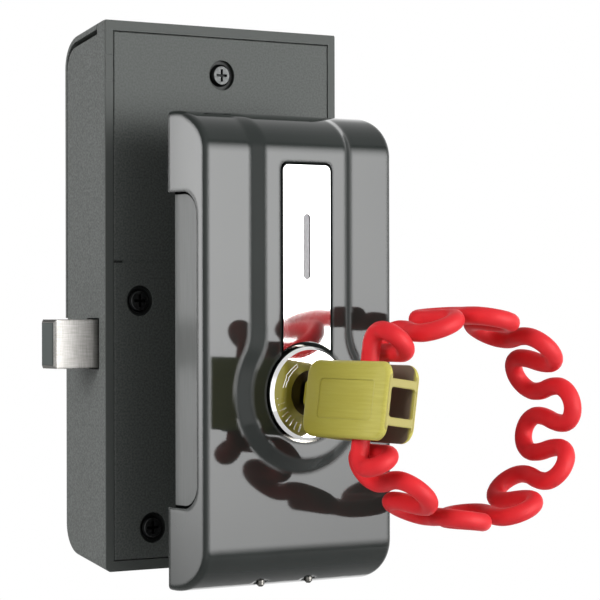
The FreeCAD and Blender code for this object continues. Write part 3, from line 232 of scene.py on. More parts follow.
def shade(tree, shader, pattern, dark, light, low=0.3, high=0.7):
    """The surface's colour runs from dark to light with the pattern."""
    ramp = add(tree, "ShaderNodeValToRGB", links={"Fac": pattern})
    ramp.color_ramp.elements[0].position = low
    ramp.color_ramp.elements[0].color = linear(dark)
    ramp.color_ramp.elements[1].position = high
    ramp.color_ramp.elements[1].color = linear(light)
    tree.links.new(ramp.outputs["Color"], shader.inputs["Base Color"])


def vary_roughness(tree, shader, pattern, low, high):
    """The roughness runs from low to high with the pattern."""
    spread = add(tree, "ShaderNodeMapRange", {"To Min": low, "To Max": high}, {"Value": pattern})
    tree.links.new(spread.outputs["Result"], shader.inputs["Roughness"])


def raise_by(tree, shader, pattern, height):
    """Raises the surface by this many millimetres where the pattern is light."""
    node = add(tree, "ShaderNodeBump", {"Strength": 1.0, "Distance": height * MM},
               {"Height": pattern})
    tree.links.new(node.outputs["Normal"], shader.inputs["Normal"])


def rounded_edges(tree, shader, radius):
    """The light rolls round sharp edges as if they had this radius in millimetres."""
    edge = add(tree, "ShaderNodeBevel", {"Radius": radius * MM})
    for node in tree.nodes:
        if node.type == "BUMP":
            tree.links.new(edge.outputs["Normal"], node.inputs["Normal"])
            return
    tree.links.new(edge.outputs["Normal"], shader.inputs["Normal"])


def inside_outline(tree, axes, low, high, corner):
    """Distance inside a rounded outline in the plane of two axes, in metres; below zero outside
    it. The limits and the corner's radius are in millimetres."""
    parts = object_axes(tree)
    over = []
    for axis, a, b in zip(axes, low, high):
        off = add(tree, "ShaderNodeMath", {1: (a + b) / 2 * MM}, {0: parts[axis]},
                  operation="SUBTRACT")
        side = add(tree, "ShaderNodeMath", links={0: off.outputs[0]}, operation="ABSOLUTE")
        over.append(add(tree, "ShaderNodeMath", {1: ((b - a) / 2 - corner) * MM},
                        {0: side.outputs[0]}, operation="SUBTRACT"))
    outside = [add(tree, "ShaderNodeMath", {1: 0.0}, {0: one.outputs[0]}, operation="MAXIMUM")
               for one in over]
    both = add(tree, "ShaderNodeCombineXYZ",
               links={"X": outside[0].outputs[0], "Y": outside[1].outputs[0]})
    round_part = add(tree, "ShaderNodeVectorMath", links={0: both.outputs["Vector"]},
                     operation="LENGTH")
    larger = add(tree, "ShaderNodeMath",
                 links={0: over[0].outputs[0], 1: over[1].outputs[0]}, operation="MAXIMUM")
    straight_part = add(tree, "ShaderNodeMath", {1: 0.0}, {0: larger.outputs[0]},
                        operation="MINIMUM")
    total = add(tree, "ShaderNodeMath",
                links={0: round_part.outputs["Value"], 1: straight_part.outputs[0]},
                operation="ADD")
    inside = add(tree, "ShaderNodeMath", {0: corner * MM}, {1: total.outputs[0]},
                 operation="SUBTRACT")
    return inside.outputs[0]


def mask(tree, value, start, full):
    """0 at the first value and 1 at the second, both in millimetres."""
    step = add(tree, "ShaderNodeMapRange", {"From Min": start * MM, "From Max": full * MM},
               {"Value": value})
    return step.outputs["Result"]


def tint(tree, shader, where, colour):
    """Turns the surface to this colour where the mask is 1. The mix node's sockets for colours
    share their names with others, so they are taken by number."""
    base = shader.inputs["Base Color"]
    mix = add(tree, "ShaderNodeMix", data_type="RGBA")
    factor, first, second, mixed = mix.inputs[0], mix.inputs[6], mix.inputs[7], mix.outputs[2]
    second.default_value = linear(colour)
    tree.links.new(where, factor)
    tree.links.new(base.links[0].from_socket, first)
    tree.links.new(mixed, base)


def tint_by_depth(tree, shader, node, start, full, colour):
    """Turns the surface to this colour between two depths behind the node's front, both in
    millimetres."""
    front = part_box(node)[0].y / MM
    tint(tree, shader, mask(tree, object_axes(tree)["Y"], front + start, front + full), colour)


def dull_by(tree, shader, value, start, full, glint):
    """The specular level falls from this one to none between two values in millimetres."""
    level = add(tree, "ShaderNodeMapRange",
                {"From Min": start * MM, "From Max": full * MM, "To Min": glint, "To Max": 0.0},
                {"Value": value})
    tree.links.new(level.outputs["Result"], shader.inputs["Specular IOR Level"])


# Finishes of the outer unit


def graphite_gloss_abs():
    """Glossy graphite ABS: nearly black in itself, so its greys are what it mirrors, drawn a little
    wavy by the moulding. Round the fascia, painted shade of the gap mirrors nothing."""
    material, tree, shader = new_material("graphite_gloss_abs")
    shade(tree, shader, cloudy(tree, 22, 1.0), "#232826", "#282d2b")
    vary_roughness(tree, shader, cloudy(tree, 9, 3.0), 0.03, 0.07)
    raise_by(tree, shader, cloudy(tree, 14, 1.0), 0.004)
    rounded_edges(tree, shader, 1.6)
    around = inside_outline(tree, "XZ", (-FASCIA_HALF, 0), (FASCIA_HALF, FASCIA_TOP), FASCIA_ROUND)
    # painted shade of the gap round the fascia: tinted here, with its glint taken off below
    tint(tree, shader, mask(tree, around, *GAP_SHADE), "#303433")
    dull_by(tree, shader, around, *GAP_DULL, 0.34)
    return material


def graphite_satin_abs():
    """Satin grey ABS with a fine upright polish; round its border a painted shade, near black and
    without glint, stands for the shade of the cut."""
    material, tree, shader = new_material("graphite_satin_abs", Roughness=0.3)
    streaks = cloudy(tree, 0.5, 2.0, (1, 1, 0.04))
    shade(tree, shader, streaks, "#6b6d6c", "#737574")
    raise_by(tree, shader, streaks, 0.002)
    rim = inside_outline(tree, "YZ", (CUT_SHADE - CUT_DEPTH, CUT_LOW), (CUT_BACK, CUT_HIGH),
                         CUT_ROUND)
    # painted shade of the cut round the insert's border
    tint(tree, shader, mask(tree, rim, *CUT_RIM_PAINTED_SHADE), "#0a0b0b")
    dull_by(tree, shader, rim, *CUT_RIM_PAINTED_SHADE, 0.7)
    return material


def black_polycarbonate():
    """Moulded carrier plate: deep grey and matte, with a fine spark-eroded grain."""
    material, tree, shader = new_material("black_polycarbonate", Roughness=0.6,
                                          Specular_IOR_Level=0.3)
    grain = cloudy(tree, 0.6, 2.0)
    shade(tree, shader, grain, "#1c1c1d", "#28282a")
    raise_by(tree, shader, grain, 0.02)
    return material


def polished_chrome():
    """Nickel-chrome plating on polished brass: a white mirror with faint vertical polishing
    marks."""
    material, tree, shader = new_material("polished_chrome", Metallic=1.0, Roughness=0.05)
    marks = cloudy(tree, 0.7, 3.0, (1, 1, 0.05))
    shade(tree, shader, cloudy(tree, 6, 1.0), "#efefee", "#f8f8f7")
    vary_roughness(tree, shader, marks, 0.03, 0.09)
    return material


def plated_fascia():
    """Chrome plating on the fascia, softly polished, so it is greyer and what it mirrors is
    blurred; its rim is painted near black, a painted shade for the dark gap round it."""
    material, tree, shader = new_material("plated_fascia", Metallic=1.0, Roughness=0.09)
    marks = cloudy(tree, 0.7, 3.0, (1, 1, 0.05))
    shade(tree, shader, cloudy(tree, 6, 1.0), "#bdbdbc", "#c8c8c7")
    vary_roughness(tree, shader, marks, 0.06, 0.11)
    rim = inside_outline(tree, "XZ", (-FASCIA_HALF, -FASCIA_TOP), (FASCIA_HALF, FASCIA_TOP),
                         FASCIA_ROUND)
    # painted shade on the fascia's rim, for the dark gap round it
    tint(tree, shader, mask(tree, rim, *FASCIA_RIM_PAINTED_SHADE), "#0c0d0d")
    return material


def frosted_light_pipe():
    """Acrylic light pipe with a frosted face: an even pale grey slot when it is dark."""
    material, tree, shader = new_material("frosted_light_pipe", Roughness=0.45, IOR=1.49,
                                          Specular_IOR_Level=0.18, Transmission_Weight=0.15)
    shade(tree, shader, cloudy(tree, 1.2, 1.0), "#9f9fa2", "#a9a9ac")
    return material


def glass_epoxy_board():
    """Glass-epoxy board under green solder mask, with lighter copper tracks beneath it."""
    material, tree, shader = new_material("glass_epoxy_board", Roughness=0.3, Coat_Weight=0.4,
                                          Coat_Roughness=0.15)
    tracks = add(tree, "ShaderNodeTexVoronoi", {"Scale": per_mm(2.2)},
                 {"Vector": stretched(tree)}, feature="DISTANCE_TO_EDGE", distance="EUCLIDEAN")
    shade(tree, shader, tracks.outputs["Distance"], "#2f7d46", "#0d4422", 0.03, 0.09)
    raise_by(tree, shader, tracks.outputs["Distance"], 0.03)
    return material


def enamelled_copper():
    """Enamelled winding wire: amber copper, wound in rings 0.4 mm apart."""
    material, tree, shader = new_material("enamelled_copper", Metallic=1.0, Roughness=0.28)
    rings = add(tree, "ShaderNodeTexWave", {"Scale": waves_per_mm(0.4)},
                {"Vector": stretched(tree)}, wave_type="RINGS", rings_direction="Y")
    shade(tree, shader, rings.outputs["Fac"], "#7c3a1c", "#cf7f4d", 0.1, 0.9)
    raise_by(tree, shader, rings.outputs["Fac"], 0.06)
    return material


def turned_contact_steel():
    """Turned contact studs: grey with fine rings from the lathe."""
    material, tree, shader = new_material("turned_contact_steel", Metallic=1.0, Roughness=0.2)
    turning = cloudy(tree, 0.25, 2.0, (0.05, 0.05, 1))
    shade(tree, shader, turning, "#3c3b39", "#6f6d69")
    vary_roughness(tree, shader, turning, 0.14, 0.3)
    return material


# Finishes of the cylinder, key and wristband


def nickel_plated_brass():
    """Nickel plate over turned brass: a warm grey sheen with turning marks round the axis."""
    material, tree, shader = new_material("nickel_plated_brass", Metallic=1.0, Roughness=0.25)
    marks = cloudy(tree, 0.35, 3.0, (1, 0.2, 1))
    shade(tree, shader, cloudy(tree, 4, 2.0), "#a8a49b", "#bdbab2")
    vary_roughness(tree, shader, marks, 0.18, 0.34)
    raise_by(tree, shader, marks, 0.004)
    return material


def shade_painted_plug_brass():
    """Face of the turning plug: dulled brass, painted dark all over as painted shade of the key."""
    material, tree, shader = new_material("shade_painted_plug_brass", Metallic=1.0, Roughness=0.3)
    # painted shade: the whole face is coloured dark
    shade(tree, shader, cloudy(tree, 5, 1.0), "#3b3631", "#4d4740")
    return material


def milled_key_steel():
    """Nickel-plated steel blade: pale, satin, with cutter marks across its length."""
    material, tree, shader = new_material("milled_key_steel", Metallic=1.0, Roughness=0.28)
    marks = cloudy(tree, 0.3, 2.0, (1, 1, 0.05))
    shade(tree, shader, marks, "#a5a49e", "#c9c8c2")
    raise_by(tree, shader, marks, 0.006)
    return material


def machined_gear_steel():
    """Sintered and machined steel: mid grey, slightly oily, with a fine grain."""
    material, tree, shader = new_material("machined_gear_steel", Metallic=1.0, Roughness=0.35)
    grain = cloudy(tree, 0.5, 3.0)
    shade(tree, shader, grain, "#65666a", "#85868a")
    vary_roughness(tree, shader, grain, 0.28, 0.42)
    raise_by(tree, shader, grain, 0.006)
    return material


def olive_moulded_nylon():
    """Olive nylon key grip: semi-matte, with faint lengthwise flow lines of the moulding. Painted
    shade darkens it towards the neck, nearer the lock, and on the face of its free end; the
    hollow between its walls is painted brown shade."""
    material, tree, shader = new_material("olive_moulded_nylon", Roughness=0.42,
                                          Specular_IOR_Level=0.35, Subsurface_Weight=0.06,
                                          Subsurface_Radius=(0.8, 0.8, 0.3),
                                          Subsurface_Scale=0.001)
    shade(tree, shader, cloudy(tree, 0.6, 3.0, (1, 0.05, 1)), "#c6bc57", "#d0c864")
    raise_by(tree, shader, cloudy(tree, 0.45, 2.0, (1, 0.4, 1)), 0.008)
    rounded_edges(tree, shader, 0.5)
    place = add(tree, "ShaderNodeTexCoord")
    upright = add(tree, "ShaderNodeMapping", {"Rotation": (0, -math.radians(KEY_TURN), 0)},
                  {"Vector": place.outputs["Object"]})
    parts = add(tree, "ShaderNodeSeparateXYZ", links={"Vector": upright.outputs["Vector"]})
    length = parts.outputs["Y"]
    across = add(tree, "ShaderNodeMath", links={0: parts.outputs["X"]}, operation="ABSOLUTE")
    behind_lip = add(tree, "ShaderNodeMath",
                     links={0: mask(tree, across.outputs[0], *HOLLOW_WALLS),
                            1: mask(tree, length, *HOLLOW_LIP)}, operation="MULTIPLY")
    hollow = add(tree, "ShaderNodeMath",
                 links={0: behind_lip.outputs[0], 1: mask(tree, length, *HOLLOW_FLOOR)},
                 operation="MULTIPLY")
    # painted shade towards the neck, nearer the lock
    tint(tree, shader, mask(tree, length, *NECK_PAINTED_SHADE), "#90872f")
    # painted shade on the face of the free end
    tint(tree, shader, mask(tree, length, *END_FACE_PAINTED_SHADE), "#9c9145")
    # painted brown shade in the hollow, where light doesn't reach
    tint(tree, shader, hollow.outputs[0], "#75695a")
    return material


def sealed_tag_glass():
    """Sealed glass tube of the tag: clear and slightly green, with the dark coil inside it."""
    material, tree, shader = new_material("sealed_tag_glass", Roughness=0.06, IOR=1.5,
                                          Transmission_Weight=0.7)
    shade(tree, shader, cloudy(tree, 1.5, 1.0, (1, 0.3, 1)), "#5c6b66", "#b9cdc6")
    return material


def red_silicone():
    """Moulded silicone band: saturated red, silky, a little translucent at its thin edges."""
    material, tree, shader = new_material("red_silicone", Roughness=0.5, Specular_IOR_Level=0.18,
                                          Subsurface_Weight=0.18,
                                          Subsurface_Radius=(1.0, 0.25, 0.2),
                                          Subsurface_Scale=0.0018, Sheen_Weight=0.04,
                                          Sheen_Roughness=0.4)
    shader.inputs["Sheen Tint"].default_value = linear("#ff6a60")
    shade(tree, shader, cloudy(tree, 7, 2.0), "#dd2c33", "#e93238")
    raise_by(tree, shader, cloudy(tree, 0.5, 2.0), 0.006)
    return material


# Finishes of the case and what it holds


def grained_case_abs(name, dark, light, glint):
    """Spark-eroded ABS: a matte dark grey whose fine grain catches light as small specks. The real
    grain is about 0.2 mm; it is drawn at 0.6 mm so that it shows."""
    material, tree, shader = new_material(name, Specular_IOR_Level=glint)
    grain = cloudy(tree, 0.6, 3.0)
    shade(tree, shader, grain, dark, light, 0.38, 0.62)
    vary_roughness(tree, shader, grain, 0.42, 0.6)
    raise_by(tree, shader, grain, 0.05)
    return material, tree, shader


def case_abs():
    """The case's mouldings; the front face of the frame round the plate is painted darker, as
    painted shade.
    """
    material, tree, shader = grained_case_abs("grained_case_abs", "#5f6260", "#787b79", 0.2)
    # painted shade on the frame's front face
    tint_by_depth(tree, shader, "case_shell", *FRAME_FACE_PAINTED_SHADE, "#404341")
    return material


def plate_coat():
    """The plate over the case's works, darker still, with painted shade in its screw recesses."""
    material, tree, shader = grained_case_abs("grained_plate_coat", "#3b3e3c", "#4a4d4b", 0.21)
    # painted shade in the screw recesses
    tint_by_depth(tree, shader, "case_plate", *PLATE_RECESS_PAINTED_SHADE, "#1d1f1e")
    return material


def zinc_plated_steel():
    """Zinc-plated steel: bluish grey, satin, with a cloudy crystal bloom."""
    material, tree, shader = new_material("zinc_plated_steel", Metallic=1.0, Roughness=0.33)
    bloom = cloudy(tree, 2.5, 3.0)
    shade(tree, shader, bloom, "#8b8f93", "#a9adb1")
    vary_roughness(tree, shader, bloom, 0.26, 0.4)
    return material


def blackened_bolt_steel():
    """Blackened socket bolts: matt and nearly black, with no metal's glint left."""
    material, tree, shader = new_material("blackened_bolt_steel", Roughness=0.5,
                                          Specular_IOR_Level=0.2)
    shade(tree, shader, cloudy(tree, 0.8, 2.0), "#2a2c2b", "#363837")
    return material


def dark_screw_steel():
    """Black-zinc screws: dark grey with worn, brighter spots on the head; the cross recess is
    painted shade."""
    material, tree, shader = new_material("dark_screw_steel", Metallic=1.0, Roughness=0.4)
    wear = cloudy(tree, 0.8, 3.0)
    shade(tree, shader, wear, "#313232", "#484949", 0.35, 0.75)
    # painted shade in the cross recess
    tint_by_depth(tree, shader, "plate_screws", *SCREW_RECESS_PAINTED_SHADE, "#141515")
    vary_roughness(tree, shader, wear, 0.34, 0.48)
    return material


def ground_bolt_steel():
    """Steel deadbolt: brushed upright and a little across on its flats; its end face is painted
    dark, a painted reflection of dark surroundings, inside a lighter band round its edge."""
    material, tree, shader = new_material("ground_bolt_steel", Metallic=1.0, Roughness=0.32)
    upright = cloudy(tree, 0.3, 3.0, (1, 1, 0.06))
    across = cloudy(tree, 0.3, 3.0, (0.06, 1, 1))
    both = add(tree, "ShaderNodeMath", links={0: upright, 1: across}, operation="ADD")
    brushed = add(tree, "ShaderNodeMath", {1: 0.5}, {0: both.outputs[0]}, operation="MULTIPLY")
    shade(tree, shader, brushed.outputs[0], "#7f7d7a", "#9a9895", 0.38, 0.62)
    raise_by(tree, shader, brushed.outputs[0], 0.004)
    rounded_edges(tree, shader, 0.7)
    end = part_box("bolt")[0].x / MM
    middle = inside_outline(tree, "XZ", (end - BOLT_BEYOND, BOLT_LOW + BOLT_EDGE),
                            (end + BOLT_BEHIND, BOLT_HIGH - BOLT_EDGE), BOLT_CORNER)
    # painted dark reflection on the bolt's end face
    tint(tree, shader, mask(tree, middle, *BOLT_END_PAINTED_REFLECTION), "#4c5150")
    return material


def taped_coil():
    """Solenoid in its steel yoke, wound with dark polyester tape in 3 mm turns."""
    material, tree, shader = new_material("taped_coil", Roughness=0.4, Coat_Weight=0.2)
    turns = add(tree, "ShaderNodeTexWave", {"Scale": waves_per_mm(3.0)},
                {"Vector": stretched(tree)}, wave_type="BANDS", bands_direction="Z")
    shade(tree, shader, turns.outputs["Fac"], "#1d1e22", "#3a3b42")
    raise_by(tree, shader, turns.outputs["Fac"], 0.05)
    return material


def drawn_spring_wire():
    """Drawn spring steel: dark grey and smooth, with a faint mottle left by the drawing."""
    material, tree, shader = new_material("drawn_spring_wire", Metallic=1.0, Roughness=0.26)
    marks = cloudy(tree, 0.2, 2.0)
    shade(tree, shader, marks, "#55565a", "#76777b")
    vary_roughness(tree, shader, marks, 0.2, 0.32)
    return material


def cell_sleeve():
    """Plain shrink sleeve on the cells: glossy black below, copper-coloured at the plus end."""
    material, tree, shader = new_material("cell_sleeve", Roughness=0.22, Coat_Weight=0.5,
                                          Coat_Roughness=0.08)
    low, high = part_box("batteries")
    up = add(tree, "ShaderNodeMapRange", {"From Min": low.z, "From Max": high.z},
             {"Value": object_axes(tree)["Z"]})
    shade(tree, shader, up.outputs["Result"], "#141416", "#b4743c", *SLEEVE_CHANGE)
    raise_by(tree, shader, cloudy(tree, 3.0, 1.0), 0.01)
    return material


def nickel_strip():
    """Nickel-plated contact strip: bright, rolled lengthwise."""
    material, tree, shader = new_material("nickel_strip", Metallic=1.0, Roughness=0.2)
    rolled = cloudy(tree, 0.3, 2.0, (0.05, 1, 1))
    shade(tree, shader, rolled, "#b0ada5", "#cdcac2")
    vary_roughness(tree, shader, rolled, 0.15, 0.28)
    return material


def pvc_cable_jacket():
    """Black PVC jacket: satin, with a faint extruded ripple."""
    material, tree, shader = new_material("pvc_cable_jacket", Roughness=0.45)
    ripple = cloudy(tree, 0.8, 1.0, (1, 0.1, 1))
    shade(tree, shader, ripple, "#131314", "#1f1f21")
    raise_by(tree, shader, ripple, 0.01)
    return material


def finish_nodes(chrome):
    """Gives every carried-over solid the finish of its real material."""
    nickel = nickel_plated_brass()
    gear = machined_gear_steel()
    board = glass_epoxy_board()
    case = case_abs()
    spring = drawn_spring_wire()
    finishes = {
        "front_cover": graphite_gloss_abs(),
        "side_insert": graphite_satin_abs(),
        "base_plate": black_polycarbonate(),
        "fascia_plate": plated_fascia(),
        "light_pipe": frosted_light_pipe(),
        "reader_board": board,
        "antenna_coil": enamelled_copper(),
        "contact_studs": turned_contact_steel(),
        "cylinder_rosette": chrome,
        "cylinder_housing": nickel,
        "cylinder_nut": nickel,
        "cylinder_plug": shade_painted_plug_brass(),
        "wafers": nickel,
        "plug_clip": spring,
        "drive_spindle": gear,
        "drive_pinion": gear,
        "key_blade": milled_key_steel(),
        "key_head": olive_moulded_nylon(),
        "transponder": sealed_tag_glass(),
        "case_shell": case,
        "case_plate": plate_coat(),
        "plate_screws": dark_screw_steel(),
        "fixing_bolts": blackened_bolt_steel(),
        "bolt": ground_bolt_steel(),
        "lock_chassis": zinc_plated_steel(),
        "chassis_pillars": gear,
        "solenoid": taped_coil(),
        "blocking_pin": gear,
        "pin_spring": spring,
        "battery_cover": case,
        "batteries": cell_sleeve(),
        "battery_contacts": nickel_strip(),
        "control_board": board,
        "link_cable": pvc_cable_jacket(),
    }
    for name, material in finishes.items():
        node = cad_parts[name]
        node.data.materials.clear()
        node.data.materials.append(material)


# Wristband


def band_corners():
    """Corners of the many-sided ring that the zigzag lies on, from above the head round to below
    it."""
    corners = [(0.0, STRAND_TOP)]
    for k in range(RING_CORNERS):
        turn = math.radians(RING_START + (RING_END - RING_START) * k / (RING_CORNERS - 1))
        corners.append((RING_X + RING_A * math.cos(turn), RING_Z + RING_B * math.sin(turn)))
    corners.append((0.0, STRAND_BOTTOM))
    return corners


def s_leg(start, end):
    """Leg between two bends as two arcs that bend opposite ways: its middle knot, the direction
    there and the handles' reach."""
    aside = Vector((end.x - start.x, 0, end.z - start.z))
    along = end.y - start.y
    middle = (start + end) / 2
    if aside.length < STRAIGHT:
        return middle, Vector((0, math.copysign(1, along), 0)), abs(along) / 6
    radius = (along ** 2 + aside.length ** 2) / (4 * aside.length)
    turn = math.asin(abs(along) / (2 * radius))
    ahead = (Vector((0, math.copysign(math.cos(turn), along), 0))
             + aside.normalized() * math.sin(turn))
    return middle, ahead, radius * math.tan(turn / 4) * 4 / 3


def band_points():
    """The tube's centre line as points with their direction and the reach of their two handles."""
    corners = band_corners()
    out = Vector((0, -1, 0))
    back = Vector((0, 1, 0))
    up = Vector((0, 0, 1))
    turn = ROUND * STRAND_R
    points = [(Vector((0, STRAND_Y, STRAND_TOP - STRAND_R)), up, 0, turn)]
    points.append((Vector((0, STRAND_Y - STRAND_R, STRAND_TOP)), out, turn, 0))
    last = len(corners) - 2
    reach_in = 0
    for k in range(last + 1):
        (x0, z0), (x1, z1) = corners[k], corners[k + 1]
        near = k % 2 == 0
        y = RING_NEAR if near else RING_FAR
        side = Vector((x1 - x0, 0, z1 - z0)).normalized()
        start = Vector((x0, y, z0)) - side * (BEND_OVER if 1 < k < last else 0)
        end = Vector((x1, y, z1)) + side * (BEND_OVER if 0 < k < last - 1 else 0)
        if k > 0:
            middle, ahead, reach_in = s_leg(leg, start)
            points[-1] = points[-1][:3] + (reach_in,)
            points.append((middle, ahead, reach_in, reach_in))
        bulge = (end - start).length / 2
        ahead = out if near else back
        points.append((start, ahead, reach_in, ROUND * bulge))
        points.append(((start + end) / 2 + ahead * bulge, side, ROUND * bulge, ROUND * bulge))
        points.append((end, -ahead, ROUND * bulge, 0))
        leg = end
    points.append((Vector((0, STRAND_Y - STRAND_R, STRAND_BOTTOM)), back, 0, turn))
    points.append((Vector((0, STRAND_Y, STRAND_BOTTOM + STRAND_R)), up, turn, 0))
    turned = Matrix.Rotation(math.radians(KEY_TURN), 3, "Y")
    return [(turned @ place, turned @ ahead, before, after)
            for place, ahead, before, after in points]


def make_wristband(material):
    """One closed moulded tube through the key's head."""
    points = band_points()
    curve = bpy.data.curves.new("wristband_tube", "CURVE")
    curve.dimensions = "3D"
    curve.bevel_depth = TUBE_R
    curve.bevel_resolution = TUBE_ROUNDNESS
    curve.resolution_u = BEND_STEPS
    spline = curve.splines.new("BEZIER")
    spline.bezier_points.add(len(points) - 1)
    spline.use_cyclic_u = True
    for knot, (place, ahead, before, after) in zip(spline.bezier_points, points):
        knot.handle_left_type = "FREE"
        knot.handle_right_type = "FREE"
        knot.co = place
        knot.handle_left = place - ahead * max(before, LEAST_REACH)
        knot.handle_right = place + ahead * max(after, LEAST_REACH)
    tube = bpy.data.objects.new("wristband_tube", curve)
    bpy.context.scene.collection.objects.link(tube)
    bpy.ops.object.select_all(action="DESELECT")
    bpy.context.view_layer.objects.active = tube
    tube.select_set(True)
    bpy.ops.object.convert(target="MESH")
    tube = bpy.context.view_layer.objects.active
    bpy.ops.object.shade_smooth()
    tube.data.materials.clear()
    tube.data.materials.append(material)
    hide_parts("wristband")
    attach(tube, "key")


# Marks on the disc


def settle(piece, material, body):
    """Gives a new piece its finish and lets it ride."""
    piece.data.materials.clear()
    piece.data.materials.append(material)
    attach(piece, body)


def raised_bar(name, start, end, length, face_y):
    """A narrow raised bar on the disc's face, bevelled all round, midway between two places and
    along them."""
    centre = (start + end) / 2
    along = end - start
    bpy.ops.object.select_all(action="DESELECT")
    bpy.ops.mesh.primitive_cube_add(size=1.0, location=(centre.x, face_y, centre.z))
    bar = bpy.context.view_layer.objects.active
    bar.name = name
    bar.scale = (length, 2 * MARK_RISE, MARK_WIDTH)
    bar.rotation_euler = (0, -math.atan2(along.z, along.x), 0)
    bpy.ops.object.transform_apply(location=True, rotation=True, scale=True)
    bevel = bar.modifiers.new("edge", "BEVEL")
    bevel.width = MARK_BEVEL
    bevel.segments = 2
    bpy.ops.object.modifier_apply(modifier=bevel.name)
    return bar


def join_as(name, pieces):
    """Joins the pieces into one."""
    bpy.ops.object.select_all(action="DESELECT")
    for piece in pieces:
        piece.select_set(True)
    bpy.context.view_layer.objects.active = pieces[0]
    bpy.ops.object.join()
    pieces[0].name = name
    return pieces[0]


def on_disc(turn, radius):
    """The place at this many degrees round the disc, from its right."""
    angle = math.radians(turn)
    return Vector((radius * math.cos(angle), 0, radius * math.sin(angle)))


def make_disc_marks(material):
    """A turning arrow, outlined in raised line, and a row of index bars on the left of the disc."""
    face_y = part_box("cylinder_rosette")[0].y
    outline = [on_disc(turn, ARROW_R + side * ARROW_HALF) for turn, side in ARROW_OUTLINE]
    bars = [raised_bar("arrow_%d" % k, a, b, (b - a).length + MARK_OVERLAP, face_y)
            for k, (a, b) in enumerate(zip(outline, outline[1:] + outline[:1]))]
    settle(join_as("turn_arrow", bars), material, "lock")
    bars = []
    for turn in INDEX_TURNS:
        a = on_disc(turn, INDEX_R - INDEX_LEN / 2)
        b = on_disc(turn, INDEX_R + INDEX_LEN / 2)
        bars.append(raised_bar("index_%d" % turn, a, b, (b - a).length, face_y))
    settle(join_as("index_bars", bars), material, "lock")


# Studio


def studio_paper():
    """White paper floor that fades out at its edge; it keeps the soft shadow of what is above
    it."""
    material, tree, shader = new_material("studio_paper", Roughness=0.9)
    shader.inputs["Base Color"].default_value = linear("#e6e6e6")
    place = add(tree, "ShaderNodeTexCoord")
    far = add(tree, "ShaderNodeVectorMath", links={0: place.outputs["Object"]}, operation="LENGTH")
    glow = add(tree, "ShaderNodeMapRange",
               {"From Min": FLOOR_R * FLOOR_FADE[0], "From Max": FLOOR_R * FLOOR_FADE[1],
                "To Min": FLOOR_GLOW, "To Max": 1.0}, {"Value": far.outputs["Value"]})
    rays = add(tree, "ShaderNodeLightPath")
    seen = add(tree, "ShaderNodeMath",
               links={0: glow.outputs["Result"], 1: rays.outputs["Is Camera Ray"]},
               operation="MULTIPLY")
    shader.inputs["Emission Color"].default_value = (1, 1, 1, 1)
    tree.links.new(seen.outputs["Value"], shader.inputs["Emission Strength"])
    return material


def add_floor():
    """A round of paper well below the lock."""
    bpy.ops.object.select_all(action="DESELECT")
    bpy.ops.mesh.primitive_circle_add(vertices=FLOOR_SIDES, radius=FLOOR_R, fill_type="NGON",
                                      location=(0, 0, FLOOR_Z))
    floor = bpy.context.view_layer.objects.active
    floor.name = "studio_floor"
    floor.data.materials.append(studio_paper())


def light_world():
    """Even soft light. Straight on and through glass the studio is white; in reflections it is
    white in front and dims overhead and towards the rear left."""
    world = bpy.data.worlds.new("studio")
    bpy.context.scene.world = world
    world.use_nodes = True
    tree = world.node_tree
    tree.nodes.clear()
    place = add(tree, "ShaderNodeTexCoord")
    facing = add(tree, "ShaderNodeVectorMath", {1: REAR_LEFT}, {0: place.outputs["Generated"]},
                 operation="DOT_PRODUCT")
    dim = add(tree, "ShaderNodeMapRange",
              {"From Min": REAR_FADE[0], "From Max": REAR_FADE[1],
               "To Min": MIRROR_LEVEL, "To Max": REAR_LEVEL}, {"Value": facing.outputs["Value"]})
    height = add(tree, "ShaderNodeSeparateXYZ", links={"Vector": place.outputs["Generated"]})
    overhead = add(tree, "ShaderNodeMapRange",
                   {"From Min": OVERHEAD_FADE[0], "From Max": OVERHEAD_FADE[1],
                    "To Min": 1.0, "To Max": OVERHEAD_SHARE}, {"Value": height.outputs["Z"]},
                   interpolation_type="SMOOTHSTEP")
    mirrored = add(tree, "ShaderNodeMath",
                   links={0: dim.outputs["Result"], 1: overhead.outputs["Result"]},
                   operation="MULTIPLY")
    rays = add(tree, "ShaderNodeLightPath")
    lit = add(tree, "ShaderNodeMapRange", {"To Min": AMBIENT},
              {"Value": rays.outputs["Is Glossy Ray"], "To Max": mirrored.outputs["Value"]})
    direct = add(tree, "ShaderNodeMath",
                 links={0: rays.outputs["Is Camera Ray"], 1: rays.outputs["Is Transmission Ray"]},
                 operation="MAXIMUM")
    level = add(tree, "ShaderNodeMapRange", {"To Max": 1.0},
                {"Value": direct.outputs["Value"], "To Min": lit.outputs["Result"]})
    studio = add(tree, "ShaderNodeBackground", {"Color": (1, 1, 1, 1)},
                 {"Strength": level.outputs["Result"]})
    add(tree, "ShaderNodeOutputWorld", links={"Surface": studio.outputs["Background"]})


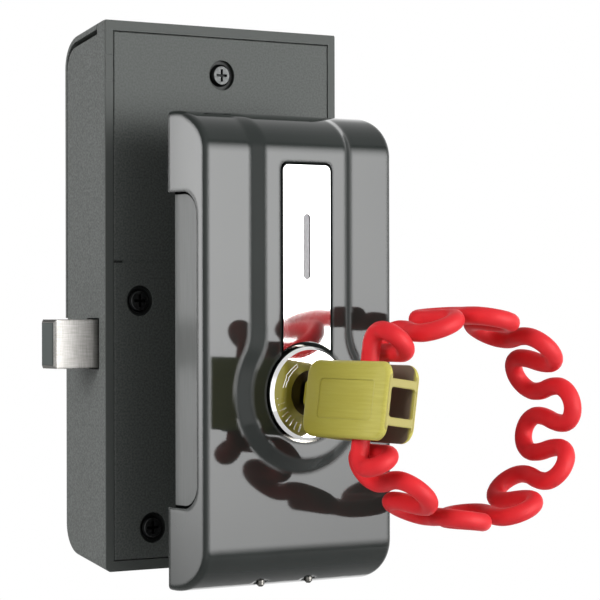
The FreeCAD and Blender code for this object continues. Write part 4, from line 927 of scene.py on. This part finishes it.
def soft_box_fabric(name, strength, even):
    """Lit fabric of a soft box: full strength over its middle, fading out to its edges."""
    material = bpy.data.materials.new(name)
    material.use_nodes = True
    tree = material.node_tree
    tree.nodes.clear()
    parts = object_axes(tree)
    fades = []
    for axis in ("X", "Y"):
        off = add(tree, "ShaderNodeMath", links={0: parts[axis]}, operation="ABSOLUTE")
        fades.append(add(tree, "ShaderNodeMapRange", {"From Min": 0.5, "From Max": even / 2},
                         {"Value": off.outputs[0]}, interpolation_type="SMOOTHSTEP"))
    both = add(tree, "ShaderNodeMath",
               links={0: fades[0].outputs["Result"], 1: fades[1].outputs["Result"]},
               operation="MULTIPLY")
    level = add(tree, "ShaderNodeMath", {1: strength}, {0: both.outputs[0]}, operation="MULTIPLY")
    glow = add(tree, "ShaderNodeEmission", links={"Strength": level.outputs[0]})
    add(tree, "ShaderNodeOutputMaterial", links={"Surface": glow.outputs["Emission"]})
    return material


def add_soft_box(name, place, size, strength, even):
    """A soft box as reflections show it, facing the lock; lamps light the matt surfaces."""
    place = Vector(place)
    bpy.ops.object.select_all(action="DESELECT")
    bpy.ops.mesh.primitive_plane_add(size=1.0, location=place,
                                     rotation=(-place).to_track_quat("Z", "Y").to_euler())
    box = bpy.context.view_layer.objects.active
    box.name = name
    box.scale = (*size, 1)
    box.data.materials.append(soft_box_fabric(name + "_fabric", strength, even))
    box.visible_camera = False
    box.visible_transmission = False
    box.visible_shadow = False
    box.visible_diffuse = False


def add_lamp(name, place, size, power):
    """A square soft light for matt surfaces, aimed at the middle of the lock."""
    place = Vector(place)
    data = bpy.data.lights.new(name, "AREA")
    data.shape = "SQUARE"
    data.size = size
    data.energy = power
    lamp = bpy.data.objects.new(name, data)
    bpy.context.scene.collection.objects.link(lamp)
    lamp.location = place
    lamp.rotation_euler = (-place).to_track_quat("-Z", "Y").to_euler()
    lamp.visible_camera = False
    lamp.visible_glossy = False


def light_studio():
    """A large soft box and its light to the right of the camera, a narrow box behind on the left,
    and a fill from the left."""
    light_world()
    for box in SOFT_BOXES:
        add_soft_box(*box)
    for lamp in LAMPS:
        add_lamp(*lamp)


def main():
    """The camera first, then the lock and its studio."""
    add_camera()
    chrome = polished_chrome()
    finish_nodes(chrome)
    make_wristband(red_silicone())
    make_disc_marks(chrome)
    add_floor()
    light_studio()
    bpy.context.scene.view_settings.view_transform = "Standard"


main()
